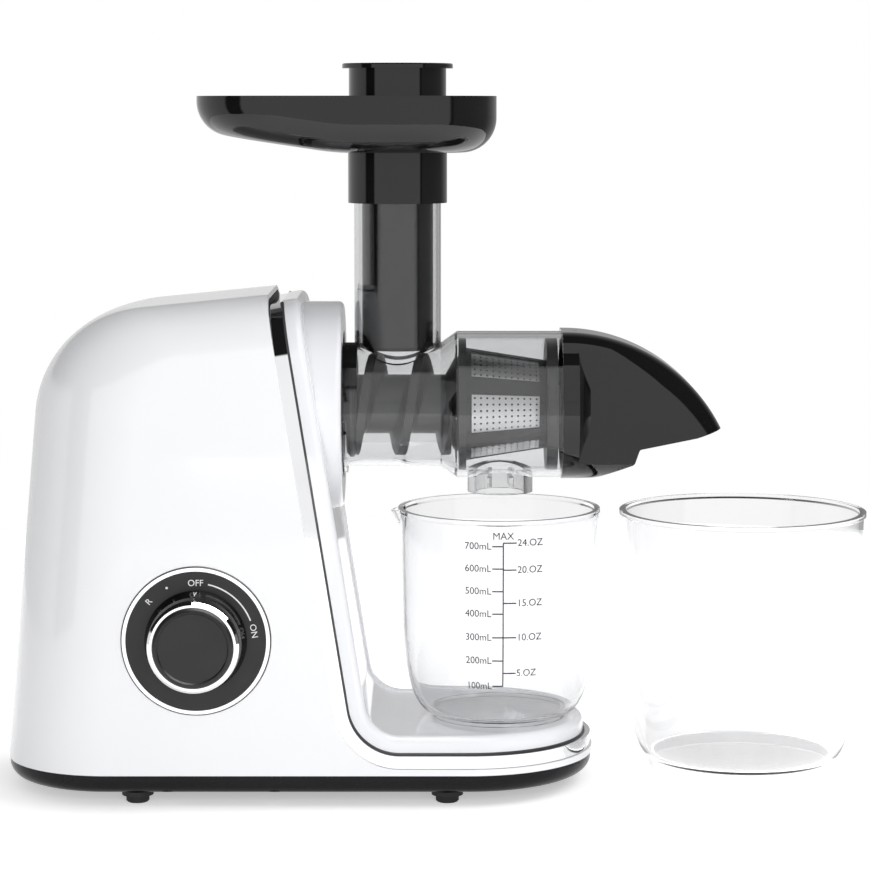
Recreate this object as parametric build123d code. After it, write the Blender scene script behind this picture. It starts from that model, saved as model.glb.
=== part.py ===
from build123d import *
import math
import os

# Horizontal slow juicer with feed tray, pusher, juice jug and pulp cup.
# Millimetres.  X runs from the motor end to the pulp end, -Y is the dial side,
# Z is up.  The origin is on the counter, below the middle of the whole set.

# ---------------------------------------------------------------- driving sizes
# body
BODY_LEFT = -241.0
BODY_HALF_DEPTH = 70.0
BODY_TOP = 275.5
BODY_LEAN = 4.9
TOP_RISE = 5.7
TOP_CORNER_R = 65.0
PLAN_CORNER_R = 60.0
TOP_EDGE_R = 30.0
SHELL_WALL = 2.6
TAIL_X = 15.0

# the L of the front: side line and floor of each layer
FRONT_TILT = 9.15
FRONT_REF_Z = 150.0
SHELL_FRONT_X = -73.6
SHELL_FLOOR = 20.7
SHELL_BEND_R = 36.0
TRIM_THICK = 7.0
TRIM_WIDTH = 4.0
TRIM_INSET = 1.0
TRIM_DROP = 5.5
PANEL_THICK = 9.8
PANEL_INSET = 5.0
PANEL_DROP = 3.5
PANEL_WALL = 3.2
BEAD_WIDTH = 8.0
BEAD_HEIGHT = 1.2

# base and feet
FOOT_HEIGHT = 6.6
BASE_TOP = 17.2
BASE_INSET = 0.6
BASE_WALL = 3.0
BASE_EDGE_R = 8.5
FOOT_R = 6.3
FOOT_FLANGE_R = 8.6
FOOT_FLANGE_T = 3.0
FOOT_XS = (-165.0, 3.5)
FOOT_Y = 55.0
SCREW_R = 1.6
SCREW_HEAD_R = 3.2
BOSS_R = 5.0
BOSS_HEIGHT = 28.0
BOSS_INSET = 9.0
BOSS_XS = (-148.0, -90.0)
VENTS = 7
VENT_STEP = 8.0
VENT_WIDTH = 3.0
TAIL_SCREW_X = 45.0
TAIL_SCREW_Y = 22.0
TAIL_GRIP = 10.0

# hub and drive axis
AXIS_Z = 211.5
HUB_FACE = -54.0
HUB_R = 57.5
HUB_EDGE_R = 3.0
SOCKET_R = 41.0
SOCKET_WALL = 3.0
SOCKET_DEPTH = 22.0
SHAFT_R = 6.0
HEX_FLATS = 10.0
BORE_GAP = 0.05

# drum, measured to the right of the hub face
DRUM_R1 = 34.5
DRUM_R2 = 40.8
DRUM_WALL = 3.0
DRUM_SPIGOT = 9.0
DRUM_CONE = (54.0, 63.0)
DRUM_SEAM = 121.0
DRUM_NECK = 6.5
CHUTE_GAP = 5.9
CHUTE_R = 24.1
CHUTE_WALL = 2.35
CHUTE_TOP = 346.0
SPOUT_AT = 87.2
SPOUT_R = 18.2
SPOUT_BORE = 13.5
SPOUT_END = 162.6
RIB_AT = 5.6
RIB_W = 2.4
RIB_RISE = 4.0
RIB_H = 5.0
RUN_GAP = 0.4
LOCK_TAB = (21.0, 67.0)

# auger and strainer, measured to the right of the hub face
AUGER_DISC = (2.0, 7.5)
AUGER_DISC_R = 29.5
AUGER_HUB_R = 10.4
AUGER_CORE_R = 16.5
SOCKET_INSERT_R = 8.5
AUGER_R = 28.5
FLIGHT_PITCH = 26.0
FLIGHT_ROOT = 170.0
FLIGHT_TIP = 66.0
FLIGHT_DOWN_AT = 30.7
STRAINER_FROM = 64.0
WINDOW_FROM = 70.9
WINDOW_TO = 108.4
STRAINER_R1 = 31.0
STRAINER_R2 = 24.5
STRAINER_WALL = 2.2
FLANGE_FROM = 112.3
FLANGE_TO = 118.4
WINDOWS = 6
WINDOW_SPAN = 41.0
WINDOW_FIRST = -5.0

# pulp nozzle
NOZZLE_R = 41.5
NOZZLE_HALF = 28.0
NOZZLE_WALL = 2.2
NOZZLE_LENGTH = 88.4
NOZZLE_RING = 8.8
NOZZLE_STOP = 0.8
SHOULDER_LENGTH = 6.4
SHOULDER_HIP = 2.0
SHOULDER_HOLLOW = (1.0, 0.5)
NOZZLE_ARC_R = 96.0
NOZZLE_CREST_R = 12.5
NOZZLE_TIP_DROP = 8.0
NOZZLE_UNDER = ((74.0, -16.2), (42.5, -22.6), (39.5, -31.0))
NOZZLE_UNDER_R = (8.0, 1.5, 3.0)
NOZZLE_BELLY = (15.0, 40.0)
NOZZLE_OUTLET = (46.0, 72.0, 20.0)

# feed tray and pusher
TRAY_LENGTH = 165.0
TRAY_WIDTH = 118.0
TRAY_CORNER_R = 47.0
TRAY_LEFT = -134.3
TRAY_RIM = 383.0
TRAY_FLOOR = 352.0
TRAY_WALL = 2.4
TRAY_EDGE_R = 19.0
TRAY_BREAK = -56.0
TRAY_BREAK_R = 150.0
TRAY_FALL = 8.5
TRAY_COLLAR_WALL = 3.0
TRAY_COLLAR_END = 324.0
PUSHER_TOP = 401.0
PUSHER_FLANGE_R = 30.7
PUSHER_FLANGE_T = 2.7
PUSHER_CUP_R = 27.0
PUSHER_GAP = 1.95
PUSHER_END = 242.4
PUSHER_WALL = 2.4

# juice jug and pulp cup
JUG_X = 32.6
JUG_RIM_R = 56.5
JUG_RIM_Z = 153.5
JUG_FOOT_R = 37.5
JUG_WALL = 2.2
LIP_R = 10.0
LIP_IN = 5.9
LIP_DROP = 28.0
CUP_X = 172.0
CUP_Y = 27.0
CUP_RIM_R = 70.0
CUP_RIM_Z = 148.0
CUP_FOOT_R = 52.5
CUP_FOOT_H = 7.0
CUP_WALL = 2.2
BOWL_PULL = 0.467
BOWL_PUSH = 0.75

# dial and switch
DIAL_X = -131.6
DIAL_Z = 90.9
BEZEL_R = 39.8
PLATE_R = 37.85
DIAL_DEPTH = 2.0
DIAL_STAND = 0.5
SKIRT_R1 = 27.5
SKIRT_R2 = 25.2
SKIRT_LENGTH = 9.0
RING_R = 24.5
CAP_R = 21.8
DISH_R = 19.2
DISH_DEPTH = 0.8
KNOB_REACH = 23.0
SPINDLE_R = 3.0
SWITCH_R = 16.0
SWITCH_DEPTH = 15.0
SWITCH_BUSH_R = 4.5

# motor and gear train
MOTOR_LEFT = -217.0
MOTOR_RIGHT = -147.0
MOTOR_R = 31.0
MOTOR_WALL = 2.2
MOTOR_CAP = 4.0
MAGNET_T = 5.0
ARMATURE_GAP = 1.8
SLOT_R = 3.0
SLOT_DEPTH = 4.0
COIL_INSET = 3.0
FAN_INSET = 2.0
ROTOR_R = 3.0
COMMUTATOR_R = 8.0
BRUSH_INSET = 6.8
BRUSH_SPRING = 5.0
PAD_T = 1.5
PINION_TEETH = 12
WHEEL_TEETH = 54
TOOTH_SHARE = 0.36
GEAR_STAGES = ((1.0, -139.0, -130.0), (1.25, -127.0, -117.0), (1.5, -114.0, -100.0))
STAGE_ANGLES = (-107.0, -37.0, -124.0)
CASE_LEFT = -143.0
CASE_RIGHT = -97.0
CASE_WALL = 3.0
CASE_ROOM = 1.6
LUG_R = 4.5
LUG_LENGTH = 8.0
COVER_T = 4.0
AXLE_R = 3.0
BEARING_R = 11.0
PILLAR_AT = 26.0

# electrics and mains entry
BOARD = (-120.0, -74.0, 34.0)
BOARD_T = 1.6
BOARD_Z = 24.0
BOARD_POST_R = 3.5
BOARD_SCREW_R = 1.4
BOARD_SCREW_LENGTH = 9.0
GLAND_X = -125.0
GLAND_Z = 45.0
GLAND_R = 7.0
GLAND_LENGTH = 20.0

TILT = math.radians(FRONT_TILT)
NOZZLE_X = HUB_FACE + DRUM_SEAM
CHUTE_AT = CHUTE_GAP + CHUTE_R
TRAY_COLLAR_R = CHUTE_R + RUN_GAP + TRAY_COLLAR_WALL
PUSHER_STEM_R = CHUTE_R - CHUTE_WALL - PUSHER_GAP
MOTOR_ROOM_R = MOTOR_R - MOTOR_WALL
ARMATURE_R = MOTOR_ROOM_R - MAGNET_T - ARMATURE_GAP


# ---------------------------------------------------------------- plain helpers
def save(name, *shapes):
    """Write one node: a single solid or a group of separate ones."""
    solids = [solid for shape in shapes for solid in shape.solids()]
    node = solids[0] if len(solids) == 1 else Compound(children=solids)
    node.label = name
    export_step(node, os.path.join("parts", name + ".step"))
    print(name, len(solids))


def rod(axis, radius, start, end, u=0.0, v=0.0):
    """Round bar along axis; u, v are its other two coordinates in X, Y, Z order."""
    place = {"x": (start, u, v), "y": (u, start, v), "z": (u, v, start)}[axis]
    along = {"x": (1, 0, 0), "y": (0, 1, 0), "z": (0, 0, 1)}[axis]
    return Solid.make_cylinder(radius, end - start, Plane(origin=place, z_dir=along))


def tube(axis, outer, inner, start, end, u=0.0, v=0.0):
    return rod(axis, outer, start, end, u, v) - rod(axis, inner, start - 1, end + 1, u, v)


def block(x0, x1, y0, y1, z0, z1):
    corner = Plane(origin=(x0, y0, z0))
    return Solid.make_box(x1 - x0, y1 - y0, z1 - z0, corner)


def turned(axis, points, u=0.0, v=0.0):
    """Turn an outline of (along, radius) points about an axis through u, v."""
    if axis == "x":
        corners = [(a, u, v + r) for a, r in points]
        line = Axis((0, u, v), (1, 0, 0))
    elif axis == "y":
        corners = [(u + r, a, v) for a, r in points]
        line = Axis((u, 0, v), (0, 1, 0))
    else:
        corners = [(u + r, v, a) for a, r in points]
        line = Axis((u, v, 0), (0, 0, 1))
    return revolve(make_face(Polyline(*corners, close=True)), line)


def side_face(points, radii, y=0.0):
    """Closed outline of (x, z) corners with rounded corners, in the plane at y."""
    line = FilletPolyline(*points, radius=radii, close=True)
    return Plane(origin=(0, y, 0), x_dir=(1, 0, 0), z_dir=(0, -1, 0)) * make_face(line)


def front_x(offset, z):
    """X of a line that lies offset to the right of the shell's front edge."""
    ref = SHELL_FRONT_X + offset / math.cos(TILT)
    return ref - (z - FRONT_REF_Z) * math.tan(TILT)


def plan_outline(inset, left=BODY_LEFT):
    """Plan of the machine: round corners at the left, a half circle at the right."""
    half = BODY_HALF_DEPTH - inset
    straight = Pos((left + inset + TAIL_X) / 2, 0) * Rectangle(TAIL_X - left - inset, 2 * half)
    corners = straight.vertices().group_by(Axis.X)[0]
    straight = fillet(corners, PLAN_CORNER_R - inset)
    return straight + Pos(TAIL_X, 0) * Circle(half)


def slab(face, z0, z1):
    return extrude(Pos(0, 0, z0) * face, z1 - z0)


# ---------------------------------------------------------------- housing
def body_section(y, inset):
    """Upright outline of the motor body in the plane at y."""
    over_left = max(0.0, abs(y) - (BODY_HALF_DEPTH - PLAN_CORNER_R))
    over_top = max(0.0, abs(y) - (BODY_HALF_DEPTH - TOP_EDGE_R))
    left_r = PLAN_CORNER_R - inset
    top_r = TOP_EDGE_R - inset
    cut_left = left_r - math.sqrt(max(0.0, left_r ** 2 - over_left ** 2))
    cut_top = top_r - math.sqrt(max(0.0, top_r ** 2 - over_top ** 2))
    lean = math.tan(math.radians(BODY_LEAN))
    rise = math.tan(math.radians(TOP_RISE))
    low = BASE_TOP
    left = BODY_LEFT + inset / math.cos(math.radians(BODY_LEAN)) + cut_left
    front_top = front_x(0.0, BODY_TOP)
    top = BODY_TOP - inset / math.cos(math.radians(TOP_RISE)) - cut_top
    corner_z = top + (left - lean * low - front_top) * rise
    corner_z = corner_z / (1 - lean * rise)
    corner_x = left + (corner_z - low) * lean
    front_z = top + (front_x(0.0, top) - front_top) * rise
    points = [(left, low), (corner_x, corner_z), (front_x(0.0, front_z), front_z), (front_x(0.0, low), low)]
    bend = TOP_CORNER_R - inset - (cut_left + cut_top) * 0.35
    return side_face(points, [0, bend, 0, 0], y)


def body_form(inset):
    """Rounded body, lofted from the dial side to the back."""
    half = BODY_HALF_DEPTH - inset
    turn = [0, 12, 24, 36, 48, 60, 70, 79, 86, 90]
    round_part = PLAN_CORNER_R - inset
    side = [half - round_part + round_part * math.sin(math.radians(a)) for a in turn]
    stations = [-y for y in reversed(side)] + [0.0] + side
    return loft([body_section(y, inset) for y in stations])


def foot_form():
    """Low toe of the shell that runs out below the jug."""
    low = BASE_TOP
    points = [
        (front_x(-14.0, low), low),
        (front_x(-14.0, 90.0), 90.0),
        (front_x(0.0, 90.0), 90.0),
        (front_x(0.0, SHELL_FLOOR), SHELL_FLOOR),
        (TAIL_X + BODY_HALF_DEPTH + 2, SHELL_FLOOR),
        (TAIL_X + BODY_HALF_DEPTH + 2, low),
    ]
    toe = extrude(side_face(points, [0, 0, 0, SHELL_BEND_R, 0, 0]), BODY_HALF_DEPTH, both=True)
    return toe & slab(plan_outline(0.0), low - 1, 100.0)


def main_housing():
    form = body_form(0.0)
    room = body_form(SHELL_WALL)
    half = BODY_HALF_DEPTH - SHELL_WALL
    low = front_x(-SHELL_WALL, 58.0)
    lower_room = block(BODY_LEFT, low, -half, half, BASE_TOP - 1, 60.0)
    upper_room = block(BODY_LEFT, 0.0, -half, half, 60.0, BODY_TOP)
    shell = form + foot_form()
    shell = shell - (room & upper_room) - (room & lower_room)
    # bosses for the base screws, grown out of the side walls
    for x, y in boss_places():
        post = rod("z", BOSS_R, BASE_TOP, BASE_TOP + BOSS_HEIGHT, x, y)
        wall_y = math.copysign(BODY_HALF_DEPTH - SHELL_WALL / 2, y)
        web = block(x - 1.2, x + 1.2, min(y, wall_y), max(y, wall_y), BASE_TOP, BASE_TOP + BOSS_HEIGHT)
        shell = shell + post + web - rod("z", SCREW_R, BASE_TOP - 1, BASE_TOP + 14.0, x, y)
    for x, y in tail_places():
        shell = shell - rod("z", SCREW_R, BASE_TOP - 1, SHELL_FLOOR + 1, x, y)
    # dial seat: a disc on the inside, a shallow round recess outside
    face_y = -BODY_HALF_DEPTH
    seat = rod("y", BEZEL_R + 3, face_y + SHELL_WALL - 0.5, face_y + SHELL_WALL + 2.0, DIAL_X, DIAL_Z)
    shell = shell + seat
    shell = shell - rod("y", BEZEL_R, face_y - 1, face_y + DIAL_DEPTH, DIAL_X, DIAL_Z)
    shell = shell - rod("y", SWITCH_BUSH_R + 0.2, face_y - 1, face_y + 20, DIAL_X, DIAL_Z)
    # cord entry in the back wall
    shell = shell - rod("y", GLAND_R, 0, BODY_HALF_DEPTH + 1, GLAND_X, GLAND_Z)
    return shell


# ---------------------------------------------------------------- front layers
def layer(inner, outer, half, drop, corner):
    """Slab that follows the L between two offsets from the shell's front edge."""
    top = BODY_TOP - drop
    far = TAIL_X + BODY_HALF_DEPTH + 5
    along = (math.cos(TILT), math.sin(TILT))
    start = (front_x(inner, top), top)
    end = (start[0] + (outer - inner) * along[0], start[1] + (outer - inner) * along[1])
    floor_in = SHELL_FLOOR + inner
    floor_out = SHELL_FLOOR + outer
    points = [
        start,
        (front_x(inner, floor_in), floor_in),
        (far, floor_in),
        (far, floor_out),
        (front_x(outer, floor_out), floor_out),
        end,
    ]
    radii = [0, SHELL_BEND_R - inner, 0, 0, SHELL_BEND_R - outer, 0]
    bar = extrude(side_face(points, radii), half, both=True)
    top_edges = [e for e in bar.edges() if e.center().Z > top - 1 and abs(abs(e.center().Y) - half) < 0.01]
    bar = fillet(top_edges, corner)
    plan = Pos((TAIL_X - 300) / 2, 0) * Rectangle(TAIL_X + 300, 2 * half + 2)
    plan = plan + Pos(TAIL_X, 0) * Circle(half)
    return bar & slab(plan, 0, BODY_TOP + 20)


def chrome_trim():
    half = BODY_HALF_DEPTH - TRIM_INSET
    ring = layer(0.0, TRIM_THICK, half, TRIM_DROP, TOP_EDGE_R)
    hole = layer(-5.0, TRIM_THICK + 5.0, half - TRIM_WIDTH, TRIM_DROP + TRIM_WIDTH, TOP_EDGE_R - TRIM_WIDTH)
    return ring - hole


def front_panel():
    half = BODY_HALF_DEPTH - PANEL_INSET
    back = TRIM_THICK
    face = TRIM_THICK + PANEL_THICK
    skin = layer(back, face, half, PANEL_DROP, TOP_EDGE_R)
    rim = [e for e in skin.edges() if on_rim(e, half, face)]
    skin = fillet(rim, BEAD_WIDTH / 2)
    dip = layer(
        face - BEAD_HEIGHT, face + 6, half - BEAD_WIDTH, PANEL_DROP + BEAD_WIDTH, TOP_EDGE_R - BEAD_WIDTH
    )
    room = layer(
        back - 2, face - PANEL_WALL, half - PANEL_WALL, PANEL_DROP + PANEL_WALL, TOP_EDGE_R - PANEL_WALL
    )
    panel = skin - dip - room - rod("x", SOCKET_R, -100, 0, 0, AXIS_Z)
    roof = SHELL_FLOOR + face - PANEL_WALL
    for x, y in tail_places():
        panel = panel + rod("z", BOSS_R, SHELL_FLOOR, roof + 0.5, x, y)
        panel = panel - rod("z", SCREW_R, SHELL_FLOOR - 1, SHELL_FLOOR + TAIL_GRIP, x, y)
    return panel


def on_rim(edge, half, offset):
    """True for the outer edges of the panel's face."""
    middle = edge.position_at(0.5)
    start = edge.position_at(0.02)
    return all(on_face_line(p, offset) for p in (middle, start)) and not is_cross(edge, half)


def on_face_line(point, offset):
    """Is the point on the panel's face: the slope, the bend or the floor?"""
    floor = SHELL_FLOOR + offset
    slope_gap = (point.X - front_x(offset, point.Z)) * math.cos(TILT)
    bend_r = SHELL_BEND_R - offset
    reach = bend_r * math.tan((math.pi / 2 - TILT) / 2)
    corner_x = front_x(offset, floor)
    centre_x = corner_x + reach
    centre_z = floor + bend_r
    ring_gap = math.hypot(point.X - centre_x, point.Z - centre_z) - bend_r
    in_bend = point.X < centre_x and point.Z < centre_z
    return abs(slope_gap) < 0.05 or abs(point.Z - floor) < 0.05 or (in_bend and abs(ring_gap) < 0.05)


def is_cross(edge, half):
    """True for the lines that run straight across the face in Y."""
    first = edge.position_at(0.0)
    last = edge.position_at(1.0)
    flat = abs(first.X - last.X) < 0.01 and abs(first.Z - last.Z) < 0.01
    return flat and first.X > -60 and abs(first.Y - last.Y) > half


def hub_collar(panel):
    back = front_x(TRIM_THICK + PANEL_THICK, AXIS_Z - HUB_R) - 40
    ring = tube("x", HUB_R, SOCKET_R, back, HUB_FACE, 0, AXIS_Z)
    edges = [e for e in ring.edges() if e.center().X > HUB_FACE - 1 and e.radius > SOCKET_R + 1]
    ring = fillet(edges, HUB_EDGE_R)
    surface = TRIM_THICK + PANEL_THICK - BEAD_HEIGHT
    behind = layer(-60.0, surface, BODY_HALF_DEPTH, 0.0, TOP_EDGE_R) + block(-400, -95, -90, 90, 100, 300)
    return ring - behind - panel


# ---------------------------------------------------------------- base
def boss_places():
    y = BODY_HALF_DEPTH - BOSS_INSET
    return [(x, side * y) for x in BOSS_XS for side in (-1, 1)]


def foot_places():
    return [(x, side * FOOT_Y) for x in FOOT_XS for side in (-1, 1)]


def tail_places():
    return [(TAIL_SCREW_X, side * TAIL_SCREW_Y) for side in (-1, 1)]


def base_plate():
    plate = slab(plan_outline(BASE_INSET), FOOT_HEIGHT, BASE_TOP)
    plate = fillet(plate.faces().sort_by(Axis.Z)[0].edges(), BASE_EDGE_R)
    plate = plate - slab(plan_outline(BASE_INSET + BASE_WALL), FOOT_HEIGHT + BASE_WALL, BASE_TOP + 1)
    for x, y in boss_places() + tail_places():
        plate = plate + rod("z", BOSS_R, FOOT_HEIGHT + 1, BASE_TOP, x, y)
    for x, y in foot_places():
        plate = plate + rod("z", BOSS_R, FOOT_HEIGHT + 1, BASE_TOP - 2, x, y)
    for x, y in board_posts():
        plate = plate + rod("z", BOARD_POST_R, FOOT_HEIGHT + 1, BOARD_Z, x, y)
        plate = plate - rod("z", BOARD_SCREW_R, FOOT_HEIGHT + 2, BOARD_Z + 1, x, y)
    for x, y in boss_places() + tail_places() + foot_places():
        plate = plate - rod("z", SCREW_R, 0, BASE_TOP + 1, x, y)
    for x, y in boss_places() + tail_places():
        plate = plate - rod("z", SCREW_HEAD_R, 0, FOOT_HEIGHT + 3, x, y)
    for i in range(VENTS):
        x = MOTOR_LEFT + 12 + VENT_STEP * i
        plate = plate - block(x, x + VENT_WIDTH, -18, 18, 0, FOOT_HEIGHT + BASE_WALL + 1)
    return plate


def feet():
    made = []
    for x, y in foot_places():
        neck = FOOT_HEIGHT - FOOT_FLANGE_T
        foot = turned(
            "z",
            [
                (0, FOOT_R - 0.8),
                (0.8, FOOT_R),
                (neck, FOOT_R),
                (neck + 0.4, FOOT_FLANGE_R),
                (FOOT_HEIGHT, FOOT_FLANGE_R),
                (FOOT_HEIGHT, SCREW_R),
                (4.4, SCREW_R),
                (4.4, SCREW_HEAD_R),
                (0, SCREW_HEAD_R),
            ],
            x,
            y,
        )
        made.append(foot)
    return made


def screw(x, y, under_head, tip, head_t=1.8):
    """Pan head screw that stands upright, head down."""
    head = rod("z", SCREW_HEAD_R - 0.1, under_head - head_t, under_head, x, y)
    slot = block(x - 2, x + 2, y - 0.4, y + 0.4, under_head - head_t, under_head - head_t + 0.8)
    return head + rod("z", SCREW_R, under_head - 0.1, tip, x, y) - slot


def base_screws():
    seat = FOOT_HEIGHT + 3
    long_ones = [screw(x, y, seat, BASE_TOP + 12) for x, y in boss_places()]
    return long_ones + [screw(x, y, seat, SHELL_FLOOR + TAIL_GRIP - 1) for x, y in tail_places()]


# ---------------------------------------------------------------- dial and switch
def face_y():
    return -BODY_HALF_DEPTH


def dial_bezel():
    y0 = face_y() - 1.0
    return tube("y", BEZEL_R, PLATE_R, y0, face_y() + DIAL_DEPTH, DIAL_X, DIAL_Z)


def dial_plate():
    y0 = face_y() - DIAL_STAND
    return tube("y", PLATE_R, SWITCH_BUSH_R + 0.2, y0, face_y() + DIAL_DEPTH, DIAL_X, DIAL_Z)


def rotary_switch():
    back = face_y() + SHELL_WALL + 2.0
    can = rod("y", SWITCH_R, back, back + SWITCH_DEPTH, DIAL_X, DIAL_Z)
    bush = rod("y", SWITCH_BUSH_R, face_y() - 3.0, back, DIAL_X, DIAL_Z)
    tags = [
        block(DIAL_X + dx - 2, DIAL_X + dx + 2, back + SWITCH_DEPTH - 0.1, back + SWITCH_DEPTH + 6,
              DIAL_Z - 0.4, DIAL_Z + 0.4)
        for dx in (-10, 0, 10)
    ]
    body = can + bush
    for tag in tags:
        body = body + tag
    return body - rod("y", SPINDLE_R + BORE_GAP, face_y() - 4, back + SWITCH_DEPTH - 3, DIAL_X, DIAL_Z)


def switch_nut():
    y0 = face_y() - DIAL_STAND - 2.0
    hexagon = RegularPolygon(7.0, 6, major_radius=False) - Circle(SWITCH_BUSH_R)
    plane = Plane(origin=(DIAL_X, y0, DIAL_Z), x_dir=(1, 0, 0), z_dir=(0, 1, 0))
    return extrude(plane * hexagon, 2.0)


def knob_skirt():
    back = face_y() - DIAL_STAND - 0.5
    front = back - SKIRT_LENGTH
    outline = [
        (back, SKIRT_R1 - 3),
        (back, SKIRT_R1),
        (back - 1.2, SKIRT_R1),
        (front, SKIRT_R2),
        (front, SPINDLE_R + 2.5),
        (front + 2.2, SPINDLE_R + 2.5),
        (front + 2.2, SKIRT_R2 - 3),
    ]
    return turned("y", outline, DIAL_X, DIAL_Z)


def knob_ring():
    back = face_y() - DIAL_STAND - 0.5 - SKIRT_LENGTH
    front = face_y() - KNOB_REACH + 2.0
    outline = [
        (back, CAP_R),
        (back, RING_R),
        (front + 1.4, RING_R),
        (front, RING_R - 1.4),
        (front, CAP_R),
    ]
    return turned("y", outline, DIAL_X, DIAL_Z)


def knob_cap():
    back = face_y() - DIAL_STAND - 0.5 - SKIRT_LENGTH
    front = face_y() - KNOB_REACH
    cap = rod("y", CAP_R, front, back, DIAL_X, DIAL_Z)
    edges = [e for e in cap.edges() if abs(e.center().Y - front) < 0.1 and e.geom_type == GeomType.CIRCLE]
    cap = fillet(edges, 2.5)
    floor = front + DISH_DEPTH
    dish = [(front - 1, 0), (front - 1, DISH_R), (front, DISH_R), (floor, DISH_R - DISH_DEPTH), (floor, 0)]
    cap = cap - turned("y", dish, DIAL_X, DIAL_Z)
    cap = cap + rod("y", SPINDLE_R + 2.5, back - 0.5, back + 2.2, DIAL_X, DIAL_Z)
    return cap - rod("y", SPINDLE_R, back - 6, back + 3, DIAL_X, DIAL_Z)


def switch_spindle():
    back = face_y() - DIAL_STAND - 0.5 - SKIRT_LENGTH
    return rod("y", SPINDLE_R, back - 6, face_y() + SHELL_WALL + SWITCH_DEPTH - 2.0, DIAL_X, DIAL_Z)


# ---------------------------------------------------------------- motor
def train_axes():
    """(y, z) of the output, second, first and motor axes."""
    y, z = 0.0, AXIS_Z
    places = [(y, z)]
    for (module, _, _), angle in zip(reversed(GEAR_STAGES), STAGE_ANGLES):
        span = module * (PINION_TEETH + WHEEL_TEETH) / 2
        y = y + span * math.cos(math.radians(angle))
        z = z + span * math.sin(math.radians(angle))
        places.append((y, z))
    return places


OUTPUT_AT, SECOND_AT, FIRST_AT, MOTOR_AT = train_axes()


def motor_rod(radius, start, end):
    return rod("x", radius, start, end, *MOTOR_AT)


def motor_tube(outer, inner, start, end):
    return tube("x", outer, inner, start, end, *MOTOR_AT)


def motor_can():
    return motor_tube(MOTOR_R, MOTOR_ROOM_R, MOTOR_LEFT + MOTOR_CAP, MOTOR_RIGHT)


def motor_magnets():
    """Two arc magnets on the can's inside wall."""
    ring = motor_tube(MOTOR_ROOM_R, MOTOR_ROOM_R - MAGNET_T, MOTOR_LEFT + 22, MOTOR_RIGHT - 8)
    y, z = MOTOR_AT
    gaps = block(MOTOR_LEFT, MOTOR_RIGHT, y - 9, y + 9, z - 40, z + 40)
    return (ring - gaps).solids()


def motor_front_cap():
    plate = motor_rod(MOTOR_R, MOTOR_RIGHT, MOTOR_RIGHT + MOTOR_CAP)
    lip = motor_tube(MOTOR_ROOM_R, MOTOR_ROOM_R - 2, MOTOR_RIGHT - 3, MOTOR_RIGHT + 0.1)
    cap = plate + lip - motor_rod(6.0, MOTOR_RIGHT - 1, MOTOR_RIGHT + MOTOR_CAP + 1)
    for y, z in motor_screw_places():
        cap = cap - rod("x", SCREW_R, MOTOR_RIGHT - 1, MOTOR_RIGHT + MOTOR_CAP + 1, y, z)
    return cap


def motor_rear_cap():
    plate = motor_rod(MOTOR_R, MOTOR_LEFT, MOTOR_LEFT + MOTOR_CAP)
    inner_face = MOTOR_LEFT + MOTOR_CAP
    lip = motor_tube(MOTOR_ROOM_R, MOTOR_ROOM_R - 2, inner_face - 0.1, inner_face + 3)
    return plate + lip - motor_rod(6.0, MOTOR_LEFT - 1, MOTOR_LEFT + MOTOR_CAP + 1)


def motor_bearings():
    bore = ROTOR_R + BORE_GAP
    return [
        motor_tube(6.0, bore, MOTOR_LEFT, MOTOR_LEFT + MOTOR_CAP),
        motor_tube(6.0, bore, MOTOR_RIGHT, MOTOR_RIGHT + MOTOR_CAP),
    ]


def brushes():
    """Two brush holders on the rear cap, and the carbon brushes in them."""
    y, z = MOTOR_AT
    x0 = MOTOR_LEFT + MOTOR_CAP
    holders = []
    carbons = []
    for side in (-1, 1):
        inner = y + side * (COMMUTATOR_R + 1.0)
        outer = y + side * (MOTOR_ROOM_R - BRUSH_INSET)
        y0, y1 = min(inner, outer), max(inner, outer)
        holder = block(x0, x0 + 12, y0, y1, z - 4, z + 4)
        slot = block(x0 + 3, x0 + 9, y0 - 1, y1 + 1, z - 2, z + 2)
        holders.append(holder - slot)
        c0 = y + side * (COMMUTATOR_R + BORE_GAP)
        c1 = outer - side * BRUSH_SPRING
        carbons.append(block(x0 + 3, x0 + 9, min(c0, c1), max(c0, c1), z - 2, z + 2))
    return holders, carbons


def rotor_parts():
    shaft = motor_rod(ROTOR_R, MOTOR_LEFT, GEAR_STAGES[0][2])
    x0 = MOTOR_LEFT + MOTOR_CAP
    commutator = motor_tube(COMMUTATOR_R, ROTOR_R, x0 + 1, x0 + 12)
    core = motor_rod(ARMATURE_R, MOTOR_LEFT + 26, MOTOR_RIGHT - 14)
    y, z = MOTOR_AT
    for i in range(8):
        angle = math.radians(45.0 * i)
        slot_y = y + (ARMATURE_R - SLOT_DEPTH) * math.cos(angle)
        slot_z = z + (ARMATURE_R - SLOT_DEPTH) * math.sin(angle)
        core = core - rod("x", SLOT_R, MOTOR_LEFT + 20, MOTOR_RIGHT, slot_y, slot_z)
    core = core - motor_rod(ROTOR_R, MOTOR_LEFT, MOTOR_RIGHT)
    windings = [
        motor_tube(ARMATURE_R - COIL_INSET, ROTOR_R, MOTOR_LEFT + 19, MOTOR_LEFT + 26),
        motor_tube(ARMATURE_R - COIL_INSET, ROTOR_R, MOTOR_RIGHT - 14, MOTOR_RIGHT - 9),
    ]
    fan = motor_tube(6.0, ROTOR_R, MOTOR_RIGHT - 8, MOTOR_RIGHT - 4.5)
    for i in range(8):
        tip = y + ARMATURE_R - FAN_INSET
        blade = block(MOTOR_RIGHT - 8, MOTOR_RIGHT - 4.5, y + 5, tip, z - 0.6, z + 0.6)
        fan = fan + blade.rotate(Axis((0, y, z), (1, 0, 0)), 45.0 * i)
    return shaft, commutator, core, windings, fan


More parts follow.
